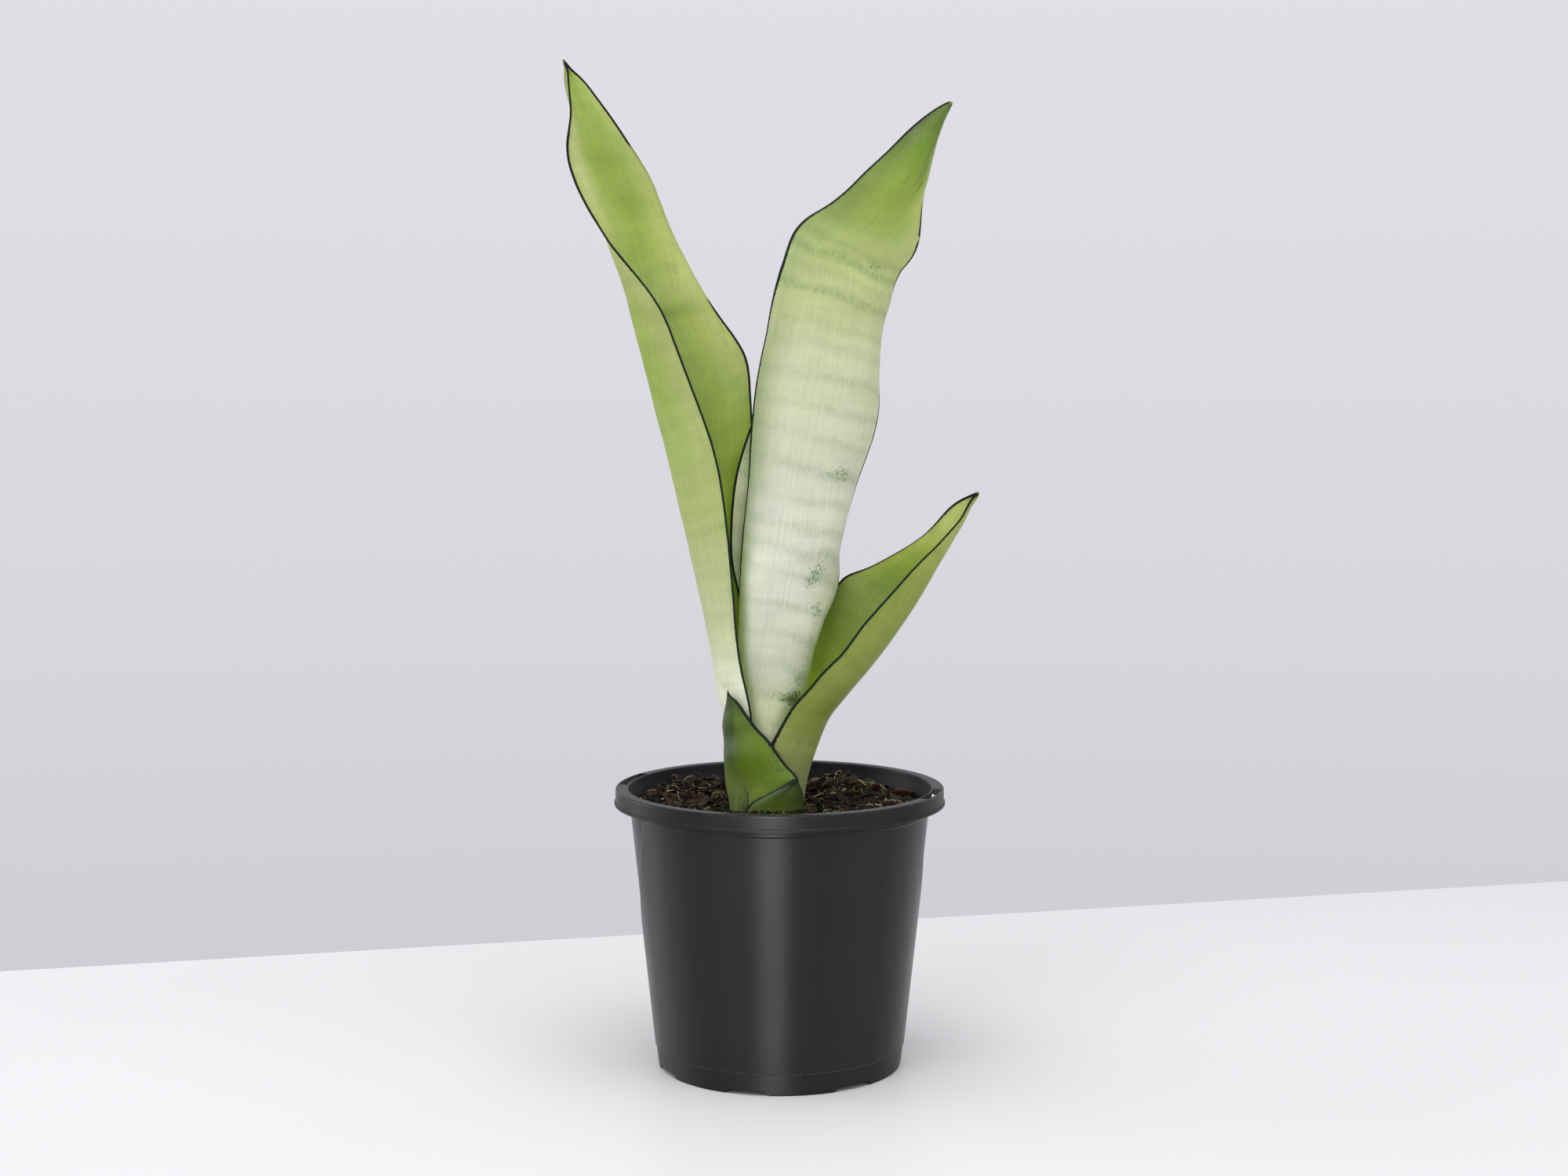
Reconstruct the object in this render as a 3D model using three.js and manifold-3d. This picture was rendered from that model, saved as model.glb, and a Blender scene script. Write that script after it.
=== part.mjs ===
// Potted snake plant: six leaves rising from one crown, in potting mix, in a moulded nursery pot.
// Millimetres, +Z up. The origin is the centre of the pot's underside, and the viewer of the front stands on -Y.
import * as THREE from "three";
import { mergeVertices } from "three/addons/utils/BufferGeometryUtils.js";
import Module from "manifold-3d";

// ---------------------------------------------------------------- driving dimensions
// Pot
const RIM_R = 100; // outer radius of the rolled rim
const RIM_TOP = 170.7; // height of the pot
const SKIRT_BOTTOM = 160.8; // lower edge of the rim's skirt
const SKIRT_INNER_R = 98.5;
const BEAD = 0.5; // the skirt's lower edge stands this proud
const MOUTH_R = 92.2; // inner edge of the rim
const WALL_TOP_R = 91.9; // outside of the wall under the rim
const WALL_FOOT_R = 76.4; // outside of the wall just above the foot band
const FOOT_BAND = 13.6; // height of the foot band
const FOOT_R = 74.2;
const WALL = 1.5; // wall thickness
const FLOOR_LOW = 2.6; // underside of the raised ring in the floor
const FLOOR_TOP = 4.4;
const PAD_R = 24; // flat disc in the middle of the underside
const RING_R = 64; // outer radius of the raised ring in the floor
const SEGMENTS = 64;
// Hanger slots in the rim, opposite each other
const SLOT_ANGLES = [165, 345];
const SLOT_SPAN = 25; // degrees
const SLOT_R = [93.2, 98.4];
// Shallow tapering panels in the wall, opposite each other
const PANEL_ANGLES = [184, 4];
const PANEL_HALF = 26; // degrees either side at the top
const PANEL_Z = [80, 160];
const PANEL_DEPTH = 0.9;
// Drainage
const NOTCHES = 7;
const NOTCH_FIRST = 255; // degrees
const NOTCH_SPAN = 19.3; // degrees
const NOTCH_H = 2.6;
const DRAIN_R = 5.5;
const DRAIN_CIRCLE_R = 49;
// Potting mix
const MIX_TOP = 157.2; // mean level
const MIX_GAP = 0.4; // to the pot
const SOCKET_FLOOR = 136.5; // the leaf bases stand here

// Leaves. Each row is one section, from the buried base to the tip: one margin, the middle of the back, the other
// margin (x, y, z each), and the half angle of the arc that the section follows.
const LEAF_ROWS = {
  leaf_tall_left: [
    [-17.5, -13, 137, -26, 0.3, 137, -14.5, 13, 137, 88],
    [-17.3, -13.4, 163, -26.2, 0.3, 162, -14.5, 13.6, 164, 88],
    [-17.2, -14.6, 192, -28.6, 0.5, 189, -14, 16, 193, 84],
    [-16.78, -17.5, 216.29, -31.35, 1, 210.26, -12.86, 18, 215.02, 80],
    [-19.94, -17, 232.81, -36.67, 3, 226.81, -13.32, 20.5, 232.66, 78],
    [-23.99, -16, 253.04, -39.45, 4, 247.33, -12.81, 22.5, 253.78, 75],
    [-26.28, -15, 276.07, -43.18, 5, 269.73, -13.25, 24.5, 278.77, 72],
    [-28.06, -14, 298.6, -47.76, 5, 292.2, -14.17, 25.5, 302.88, 70],
    [-30.7, -13.5, 326.76, -54.15, 5, 319.84, -15.55, 26, 332.75, 66],
    [-34.17, -13, 353.91, -60.44, 5, 346.92, -16.44, 25.99, 361.6, 62],
    [-40.01, -12.97, 379.6, -66.09, 4.77, 372.49, -16.59, 24.07, 389.91, 58],
    [-48.14, -13.65, 402.9, -71.39, 2.72, 396.59, -17.78, 21.09, 414.25, 54],
    [-57.43, -14.92, 427.5, -76.96, 1.02, 421.95, -21.42, 19.11, 433.23, 50],
    [-65.15, -16.26, 448.28, -82.72, -0.8, 443.45, -33.15, 14.47, 451.13, 46],
    [-73.14, -16.84, 463.94, -87.28, -2.44, 460.19, -45.7, 9.53, 469.8, 42],
    [-84.12, -17.46, 478.64, -90.83, -4.15, 475.92, -54.86, 4.63, 486.44, 38],
    [-96.9, -18.26, 493.74, -93.58, -4.89, 490.7, -62.09, -0.13, 500.62, 34],
    [-107.33, -19.14, 508.34, -91.76, -3.14, 508.35, -67.43, -4.3, 513.32, 30],
    [-115.83, -20.68, 523.3, -97.07, -5.63, 522.95, -71.8, -8.49, 525.47, 30],
    [-121.69, -22.7, 537.25, -102.78, -8.72, 537.43, -77.4, -12.34, 538.24, 30],
    [-124.26, -25.65, 553.3, -108.78, -13.25, 553.96, -87.8, -16.42, 555.01, 32],
    [-121.61, -29.71, 569.13, -114.57, -19.8, 569.69, -98.38, -21.46, 570.63, 36],
    [-121.35, -34.4, 582.08, -120.97, -26.97, 582.47, -107.66, -27.57, 583.05, 48],
    [-121.68, -37.97, 591.04, -123.38, -33.56, 591.57, -115.26, -34.09, 591.72, 50],
    [-122.41, -39.4, 596.22, -123.52, -37.52, 596.89, -120.33, -37.85, 595.96, 50],
    [-124.73, -40.28, 600.55, -124.5, -39.84, 600.88, -124.22, -39.89, 600.6, 50],
  ],
  leaf_tall_center: [
    [-14.6, 6.6, 137, -8, -9.3, 137, -1.4, 6.6, 137, 128],
    [-15.6, 7, 163, -8, -9.8, 163, -0.4, 7, 163, 124],
    [-20, 8, 192, -7.2, -13, 191.5, 5, 8, 191, 112],
    [-23.32, 8.5, 210.59, -6.96, -14, 213.39, 9.2, 9, 209.99, 100],
    [-24.47, 9, 229.35, -2.46, -14.5, 231.51, 15.01, 9.5, 228.27, 96],
    [-24.98, 9, 251.51, -0.78, -14.5, 252.83, 19.76, 10, 249.4, 94],
    [-24.97, 9, 271.68, 3.84, -14, 273.1, 25.84, 11, 269.48, 90],
    [-24.04, 9, 293.24, 2.6, -13.5, 293.8, 35.05, 13, 289.44, 74],
    [-22.83, 9, 317.13, 12.53, -13.5, 317.31, 36.08, 14.5, 313.29, 84],
    [-20.82, 8.5, 336.22, 13.99, -13, 336.05, 39.97, 14.5, 332.9, 88],
    [-18.62, 8.13, 359.98, 12.97, -12.39, 358.96, 47.49, 13.56, 356.32, 70],
    [-17.33, 8.97, 384.58, 17.21, -11.12, 382.73, 56.02, 13.77, 380.07, 62],
    [-15.31, 9.97, 403.93, 20.5, -9.68, 401.35, 59.63, 15.64, 398.06, 72],
    [-12.1, 11.34, 425.15, 28.39, -7.46, 420.88, 59.52, 18.81, 417.48, 88],
    [-7.9, 12.81, 444.47, 30.8, -5.09, 439.51, 60.41, 20.6, 435.49, 88],
    [-4.47, 14.47, 463.79, 35.64, -3.07, 457.67, 63.12, 21.52, 453.02, 84],
    [-0.66, 14.93, 479.31, 44.15, -0.8, 471.67, 66.85, 20.65, 465.75, 70],
    [3.99, 14.44, 494.28, 38.01, 1.56, 485.71, 72.57, 18.07, 480.73, 44],
    [8.58, 14.12, 505.49, 43.65, 2.61, 495.97, 79.9, 13.99, 489.94, 38],
    [17.08, 13.6, 514.32, 50.24, 4.16, 505.8, 83.88, 14.01, 499.76, 38],
    [28.39, 13.36, 521.06, 57.29, 5.08, 514.2, 85.36, 16.54, 509.26, 44],
    [40.66, 14.47, 530.68, 64.35, 6.2, 524.01, 85.94, 20.61, 518.89, 56],
    [52.51, 16.89, 542.51, 76.38, 9.08, 535.8, 87.56, 25.56, 531.43, 68],
    [65.37, 20.38, 554.45, 83.37, 14.22, 549.22, 91.37, 29.81, 545.86, 66],
    [77.89, 25.49, 567.06, 90.19, 20.95, 562.87, 94.88, 32.1, 560.17, 60],
    [90.46, 30.39, 577.61, 97.2, 28.01, 574.77, 99.07, 33.71, 572.54, 50],
    [98.77, 34.1, 582.92, 101.08, 33.1, 581.4, 102.67, 35.24, 580.21, 44],
    [103.46, 36.02, 585.28, 104.3, 35.78, 584.97, 104.93, 36.53, 584.58, 44],
  ],
  leaf_young_inner: [
    [-11.8, -1.2, 137, -8, 4.6, 137, -4.2, -1.2, 137, 118],
    [-12.2, -1.4, 163, -8, 5.2, 163, -3.8, -1.4, 163, 116],
    [-13.8, 1.5, 192, -7, 9.5, 192, -0.6, 1.5, 192, 108],
    [-17.5, 7, 228, -5, 16.5, 228, 7, 7, 228, 92],
    [-21.34, 12.5, 253.98, -4.12, 19.5, 252.18, 13.14, 13, 253.87, 80],
    [-24.39, 13.5, 281.79, -3.12, 21, 280.07, 18.92, 15, 281.59, 74],
    [-29.54, 14, 305.76, -3.08, 21.5, 303.67, 24.2, 16, 305.52, 68],
    [-30.13, 14, 327.78, -1.13, 21.8, 325.3, 28.05, 17, 327.02, 62],
    [-29.03, 14, 344.97, 1.29, 21.5, 342.12, 30.44, 17.5, 343.74, 58],
    [-26.21, 14.18, 362.11, 3.71, 21.42, 359.37, 32.35, 18.14, 360.43, 54],
    [-21.66, 14.88, 377.78, 6.6, 21.56, 374.66, 33.31, 18.58, 375.2, 50],
    [-16.73, 15.77, 391.05, 9, 21.62, 388.02, 32.84, 19.1, 387.57, 46],
    [-10.05, 16.82, 404.79, 10.93, 23.34, 401.81, 30.48, 20.76, 400.4, 42],
    [-2.42, 18.35, 418.04, 12.85, 22.69, 415.63, 26.19, 21.07, 413.72, 38],
    [5.22, 20.48, 429.88, 13.81, 22.38, 428.46, 20.95, 21.47, 427.02, 36],
    [11.42, 21.49, 437.94, 14.77, 22.26, 437.47, 17.14, 21.82, 436.99, 34],
    [15.05, 22.17, 442.68, 15.58, 22.37, 442.69, 16.01, 22.25, 442.49, 34],
  ],
  leaf_small_right: [
    [-3.5, 14.2, 137, 13, 0.5, 137, -8.2, -14, 137, 86],
    [-2.8, 15.2, 164, 13.8, 0.5, 163, -7.6, -14.6, 163, 86],
    [-2.3, 19, 188.07, 19.22, 1, 187.07, -6.48, -17.5, 195.37, 84],
    [2.56, 22.5, 204.6, 23.07, 2, 197.52, -1.52, -18.5, 206.21, 82],
    [7.42, 25, 220.34, 28.86, 3, 211.32, 7.38, -18.8, 221.65, 80],
    [12.77, 26.49, 235.75, 34.53, 4, 219.84, 15.56, -18.6, 231.08, 77],
    [18.1, 27.08, 252.23, 41.82, 5, 229.31, 26.23, -17.81, 243.26, 74],
    [23.9, 26.53, 268.33, 49.83, 5.36, 239.83, 37.06, -16.06, 253.91, 70],
    [30.61, 24.23, 283.1, 60.53, 4.95, 253.78, 47.87, -14.98, 268.41, 66],
    [38.69, 20.44, 295.75, 69.95, 3.59, 267.81, 59.13, -14.57, 281.57, 62],
    [50.53, 16.06, 301.49, 79.76, 1.33, 282.35, 71.06, -14.44, 294.97, 58],
    [63.69, 10.97, 308.26, 88.7, -1.3, 297.33, 82.73, -14.47, 307.89, 54],
    [77.67, 5.5, 316.96, 97.02, -4.11, 311.77, 93.93, -14.34, 318.9, 50],
    [90.09, -0.29, 326.88, 103.45, -6.03, 322.76, 102.57, -14.08, 328.49, 46],
    [99.57, -5.97, 338.32, 109.03, -8.4, 332.81, 108.61, -14.01, 335.97, 42],
    [107.7, -9.9, 345.49, 113.48, -11.08, 341.42, 113, -14.13, 344.17, 38],
    [114.05, -12.36, 348.7, 117.14, -12.54, 346.65, 116.35, -14.04, 348.6, 36],
    [118.05, -13.71, 350.36, 118.72, -13.57, 349.7, 118.74, -13.85, 350.08, 36],
  ],
  leaf_sheath_left: [
    [-21, 18, 137, -25.26, -17, 137, 8.5, -13.5, 137, 80],
    [-21.5, 18.6, 163, -24.92, -17.2, 162, 10, -13.6, 164, 80],
    [-24.07, 18.5, 171.09, -25.69, -18, 172.62, 11.2, -13.5, 176.08, 80],
    [-25.98, 18.5, 180.87, -27.61, -19, 182.8, 4.11, -17.5, 186.31, 78],
    [-28.33, 17, 190.87, -29.43, -19, 193.74, -4.67, -22.3, 199.69, 74],
    [-32.87, 6, 201.8, -28.53, -17, 203.41, -10.89, -23, 206.91, 64],
    [-34.02, -5, 211.63, -29.47, -18.4, 212.64, -16.58, -23.2, 213.81, 48],
    [-32.52, -11.5, 219.49, -28.74, -18.8, 220.28, -22.09, -23, 221.58, 44],
    [-31.27, -16, 225.35, -29.4, -19.8, 225.87, -26.17, -22.3, 226.45, 44],
    [-30.97, -18.2, 228.97, -30.43, -19.6, 229.16, -29.57, -20.4, 229.22, 44],
    [-31.18, -19.2, 231.52, -30.98, -19.5, 231.6, -30.8, -19.6, 231.47, 44],
  ],
  leaf_scale_front: [
    [-25.5, -20.6, 137, -5.5, -25, 137, 14, -9.5, 137, 62],
    [-25.6, -21.2, 152, -5.5, -25.4, 152, 14.2, -9.5, 152, 62],
    [-22.5, -23, 157.6, -2.2, -24.9, 158.5, 14.3, -9.6, 160, 58],
    [-17.58, -24.6, 163.98, 0.07, -25.6, 166.8, 13.56, -12.8, 168.29, 52],
    [-5.69, -25.2, 170.62, 4.3, -24, 172.2, 12.36, -15.2, 172.55, 46],
    [1.3, -24, 174.25, 6.66, -22.4, 174.77, 11.02, -17.4, 175.08, 42],
    [6.2, -22, 177.08, 8.17, -21.4, 177.06, 9.79, -19.2, 176.97, 40],
    [8.74, -20.6, 178.45, 9.07, -20.5, 178.43, 9.41, -20, 178.25, 40],
  ],
};
// thickness at the base's middle, at the tip's middle, and at the margins
const LEAF_THICK = {
  leaf_tall_left: [2.4, 1.5, 0.9],
  leaf_tall_center: [2.6, 1.5, 0.9],
  leaf_young_inner: [2.0, 1.2, 0.8],
  leaf_small_right: [2.3, 1.4, 0.9],
  leaf_sheath_left: [2.2, 1.4, 0.9],
  leaf_scale_front: [1.9, 1.2, 0.8],
};
const LEAF_STEPS = {
  leaf_tall_left: [30, 10],
  leaf_tall_center: [30, 10],
  leaf_young_inner: [18, 10],
  leaf_small_right: [18, 10],
  leaf_sheath_left: [12, 12],
  leaf_scale_front: [8, 8],
};
// outline of the leaf bases where they enter the mix
const SOCKET = [[16.07, -8.85], [16.01, -3.54], [15.92, 2.3], [14.32, 8.35], [10.13, 12.93], [4.63, 15.79], [-1.32, 17.1], [-7.24, 18.12], [-13.64, 19.21], [-21.35, 20.46], [-26.36, 15.13], [-29.5, 8.9], [-31.39, 2.78], [-32.09, -3.17], [-31.52, -8.85], [-30.1, -14.06], [-28.66, -19.16], [-25.96, -23.78], [-21.47, -26.69], [-16.47, -28.03], [-11.75, -28.61], [-7.24, -28.72], [-2.88, -27.94], [1.24, -26.45], [5.08, -24.29], [8.65, -21.51], [11.84, -18.03], [14.58, -13.83]];
// Loose bark lying on the mix: x, y, length, width, height, turn in degrees
const BARK = [
  ["bark_chip_1", 24.5, 24.0, 13, 6.5, 4.0, 12],
  ["bark_chip_2", -52.0, 6.0, 12, 8, 4.5, 60],
  ["bark_chip_3", 52.0, -22.0, 14, 7, 4.0, -25],
  ["bark_chip_4", -38.0, -42.0, 11, 8, 4.2, 35],
  ["bark_chip_5", 12.0, -58.0, 13, 8, 4.5, 100],
  ["bark_chip_6", 3.0, 56.0, 12, 7, 4.2, 150],
];

// ---------------------------------------------------------------- colours
const POT_BLACK = 0x2b2c30;
const MIX_BROWN = 0x2c211a;
const BARK_BROWN = 0x5a4030;
const LEAF_COLOURS = {
  leaf_tall_left: 0x9aac5e,
  leaf_tall_center: 0xc2ccae,
  leaf_young_inner: 0xb9c6a8,
  leaf_small_right: 0x8ca04a,
  leaf_sheath_left: 0x5c8228,
  leaf_scale_front: 0x3f6024,
};

const wasm = await Module();
wasm.setup();
const rad = (d) => (d * Math.PI) / 180;

function solid(geometry) {
  const g = geometry.index ? geometry.toNonIndexed() : geometry.clone();
  g.deleteAttribute("normal");
  g.deleteAttribute("uv");
  const m = mergeVertices(g, 1e-4);
  return new wasm.Manifold(
    new wasm.Mesh({
      numProp: 3,
      vertProperties: new Float32Array(m.attributes.position.array),
      triVerts: new Uint32Array(m.index.array),
    }),
  );
}
function geometryOf(s) {
  const m = s.getMesh();
  const g = new THREE.BufferGeometry();
  g.setAttribute("position", new THREE.BufferAttribute(new Float32Array(m.vertProperties), 3));
  g.setIndex(new THREE.BufferAttribute(new Uint32Array(m.triVerts), 1));
  g.computeVertexNormals();
  return g;
}
function piece(name, geometry, color, roughness, metalness = 0) {
  const mesh = new THREE.Mesh(geometry, new THREE.MeshStandardMaterial({ color, roughness, metalness }));
  mesh.name = name;
  return mesh;
}
// a body of revolution about +Z from [radius, height] pairs
function turned(profile, segments) {
  const g = new THREE.LatheGeometry(profile.map(([r, z]) => new THREE.Vector2(r, z)), segments, Math.PI / 2);
  g.rotateX(Math.PI / 2);
  return g;
}
// a flat-ended block that follows a ring: inner and outer radius, first and last angle, bottom and top
function ringBlock(r0, r1, a0, a1, z0, z1, steps = 8) {
  const s = new THREE.Shape();
  for (let i = 0; i <= steps; i++) {
    const a = rad(a0 + ((a1 - a0) * i) / steps);
    if (i) s.lineTo(r1 * Math.cos(a), r1 * Math.sin(a));
    else s.moveTo(r1 * Math.cos(a), r1 * Math.sin(a));
  }
  for (let i = steps; i >= 0; i--) {
    const a = rad(a0 + ((a1 - a0) * i) / steps);
    s.lineTo(r0 * Math.cos(a), r0 * Math.sin(a));
  }
  const g = new THREE.ExtrudeGeometry(s, { depth: z1 - z0, bevelEnabled: false, curveSegments: 1 });
  g.translate(0, 0, z0);
  return g;
}

// ---------------------------------------------------------------- pot
const wallR = (z) => WALL_FOOT_R + ((WALL_TOP_R - WALL_FOOT_R) * (z - FOOT_BAND)) / (160 - FOOT_BAND);
// how far the tapering panels set the wall in at an angle and a height
function panelInset(angle, z) {
  const half = (PANEL_HALF * (z - PANEL_Z[0])) / (PANEL_Z[1] - PANEL_Z[0]);
  if (half <= 0) return 0;
  let inset = 0;
  for (const c of PANEL_ANGLES) {
    const off = Math.abs(((angle - c + 540) % 360) - 180);
    const k = Math.min(1, Math.max(0, (half - off) / 2));
    inset = Math.max(inset, PANEL_DEPTH * k * k * (3 - 2 * k));
  }
  return inset;
}
function pot() {
  const outer = [
    [0, 0],
    [PAD_R, 0],
    [PAD_R + 1.5, FLOOR_LOW],
    [RING_R, FLOOR_LOW],
    [RING_R + 2, 0],
    [FOOT_R - 0.8, 0],
    [FOOT_R, 0.8],
    [FOOT_R + 1.5, FOOT_BAND - 0.6],
    [WALL_FOOT_R, FOOT_BAND],
  ];
  for (const z of [84, 108, 132, 156]) outer.push([wallR(z), z]);
  outer.push(
    [WALL_TOP_R + 0.5, 157],
    [WALL_TOP_R + 0.5, 168.6],
    [SKIRT_INNER_R, 168.6],
    [SKIRT_INNER_R, SKIRT_BOTTOM],
    [RIM_R + BEAD, SKIRT_BOTTOM],
    [RIM_R + BEAD, SKIRT_BOTTOM + 1.4],
    [RIM_R - 0.3, SKIRT_BOTTOM + 2.2],
    [RIM_R - 0.2, RIM_TOP - 1.2],
    [RIM_R - 1.3, RIM_TOP],
    [MOUTH_R + 0.8, RIM_TOP],
    [MOUTH_R, RIM_TOP - 0.8],
  );
  const inner = [[wallR(160) - WALL, 160]];
  for (const z of [156, 132, 108, 84]) inner.push([wallR(z) - WALL, z]);
  inner.push([wallR(FOOT_BAND) - WALL, FOOT_BAND], [FOOT_R - 1.2, FLOOR_TOP], [0, FLOOR_TOP]);
  const g = turned([...outer, ...inner], SEGMENTS);
  g.deleteAttribute("normal");
  g.deleteAttribute("uv");
  const m = mergeVertices(g, 1e-4);
  const p = m.attributes.position;
  for (let i = 0; i < p.count; i++) {
    const x = p.getX(i),
      y = p.getY(i),
      z = p.getZ(i),
      r = Math.hypot(x, y);
    if (z > PANEL_Z[0] && z < 156.5 && r > 60) {
      const k = 1 - panelInset(((Math.atan2(y, x) * 180) / Math.PI + 360) % 360, z) / r;
      p.setXY(i, x * k, y * k);
    }
  }
  let body = solid(m);
  for (const c of SLOT_ANGLES)
    body = body.subtract(solid(ringBlock(SLOT_R[0], SLOT_R[1], c - SLOT_SPAN / 2, c + SLOT_SPAN / 2, 167, 172, 5)));
  for (let i = 0; i < NOTCHES; i++) {
    const c = NOTCH_FIRST + (360 * i) / NOTCHES;
    body = body.subtract(
      solid(ringBlock(RING_R - 1, FOOT_R + 4, c - NOTCH_SPAN / 2, c + NOTCH_SPAN / 2, -1, NOTCH_H, 4)),
    );
    const hole = new THREE.CylinderGeometry(DRAIN_R, DRAIN_R, 10, 12);
    hole.rotateX(Math.PI / 2);
    hole.translate(DRAIN_CIRCLE_R * Math.cos(rad(c)), DRAIN_CIRCLE_R * Math.sin(rad(c)), 3);
    body = body.subtract(solid(hole));
  }
  return geometryOf(body);
}

// ---------------------------------------------------------------- potting mix
// the surface falls and rises a few millimetres
const mixTop = (x, y) =>
  MIX_TOP +
  1.3 * Math.sin(x / 17 + 0.6) * Math.cos(y / 21 - 0.4) +
  0.8 * Math.sin(x / 8.5 - y / 11) -
  1.2 * Math.max(0, (Math.hypot(x, y) - 70) / 20);
function mix() {
  const n = 40;
  const innerR = (z) => wallR(z) - WALL - MIX_GAP - (z > 82 ? PANEL_DEPTH + 0.1 : 0);
  const radii = [22, 40, 56, 70, 80, 0];
  const profile = [
    [0, FLOOR_TOP + MIX_GAP],
    [FOOT_R - 2.2, FLOOR_TOP + MIX_GAP],
    [wallR(FOOT_BAND) - WALL - MIX_GAP - 0.2, FOOT_BAND],
    [innerR(80), 80],
    [innerR(110), 110],
    [innerR(154), 154],
  ];
  for (const r of radii.slice(0, -1).reverse()) profile.push([r, MIX_TOP]);
  profile.push([0, MIX_TOP]);
  const g = turned(profile, n);
  g.deleteAttribute("normal");
  g.deleteAttribute("uv");
  const m = mergeVertices(g, 1e-4);
  const p = m.attributes.position;
  for (let i = 0; i < p.count; i++)
    if (Math.abs(p.getZ(i) - MIX_TOP) < 1e-3) p.setZ(i, mixTop(p.getX(i), p.getY(i)));
  const s = new THREE.Shape(SOCKET.map(([x, y]) => new THREE.Vector2(x, y)));
  const socket = new THREE.ExtrudeGeometry(s, { depth: 40, bevelEnabled: false });
  socket.translate(0, 0, SOCKET_FLOOR);
  return geometryOf(solid(m).subtract(solid(socket)));
}

// ---------------------------------------------------------------- leaves
// natural cubic spline through values y at parameters t, read at tt
function spline(t, y, tt) {
  const n = t.length;
  const h = t.slice(1).map((v, i) => v - t[i]);
  const c = new Array(n).fill(0),
    d = new Array(n).fill(0);
  for (let i = 1; i < n - 1; i++) {
    const a = h[i - 1],
      b = 2 * (h[i - 1] + h[i]),
      r = 6 * ((y[i + 1] - y[i]) / h[i] - (y[i] - y[i - 1]) / h[i - 1]);
    const w = b - a * c[i - 1];
    c[i] = h[i] / w;
    d[i] = (r - a * d[i - 1]) / w;
  }
  const m = new Array(n).fill(0);
  for (let i = n - 2; i > 0; i--) m[i] = d[i] - c[i] * m[i + 1];
  let k = 0;
  return tt.map((x) => {
    while (k < n - 2 && x > t[k + 1]) k++;
    const u = x - t[k],
      v = t[k + 1] - x,
      e = h[k];
    return (
      (m[k] * v ** 3 + m[k + 1] * u ** 3) / (6 * e) +
      (y[k] / e - (m[k] * e) / 6) * v +
      (y[k + 1] / e - (m[k + 1] * e) / 6) * u
    );
  });
}
// points of one section, evenly spaced along its arc
function section(row, nv) {
  const L = new THREE.Vector3(row[0], row[1], row[2]),
    M = new THREE.Vector3(row[3], row[4], row[5]),
    R = new THREE.Vector3(row[6], row[7], row[8]),
    t = rad(row[9]);
  const half = R.clone().sub(L).multiplyScalar(0.5),
    sag = L.clone().add(R).multiplyScalar(0.5).sub(M);
  const fine = [];
  const acc = [0];
  for (let i = 0; i <= 120; i++) {
    const v = -1 + i / 60;
    fine.push(
      M.clone()
        .addScaledVector(half, Math.sin(t * v) / Math.sin(t))
        .addScaledVector(sag, (1 - Math.cos(t * v)) / (1 - Math.cos(t))),
    );
    if (i) acc.push(acc[i - 1] + fine[i].distanceTo(fine[i - 1]));
  }
  const out = [];
  let k = 0;
  for (let j = 0; j <= nv; j++) {
    const s = (acc[120] * j) / nv;
    while (k < 119 && s > acc[k + 1]) k++;
    out.push(fine[k].clone().lerp(fine[k + 1], Math.min(1, (s - acc[k]) / (acc[k + 1] - acc[k]))));
  }
  return out;
}
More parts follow.
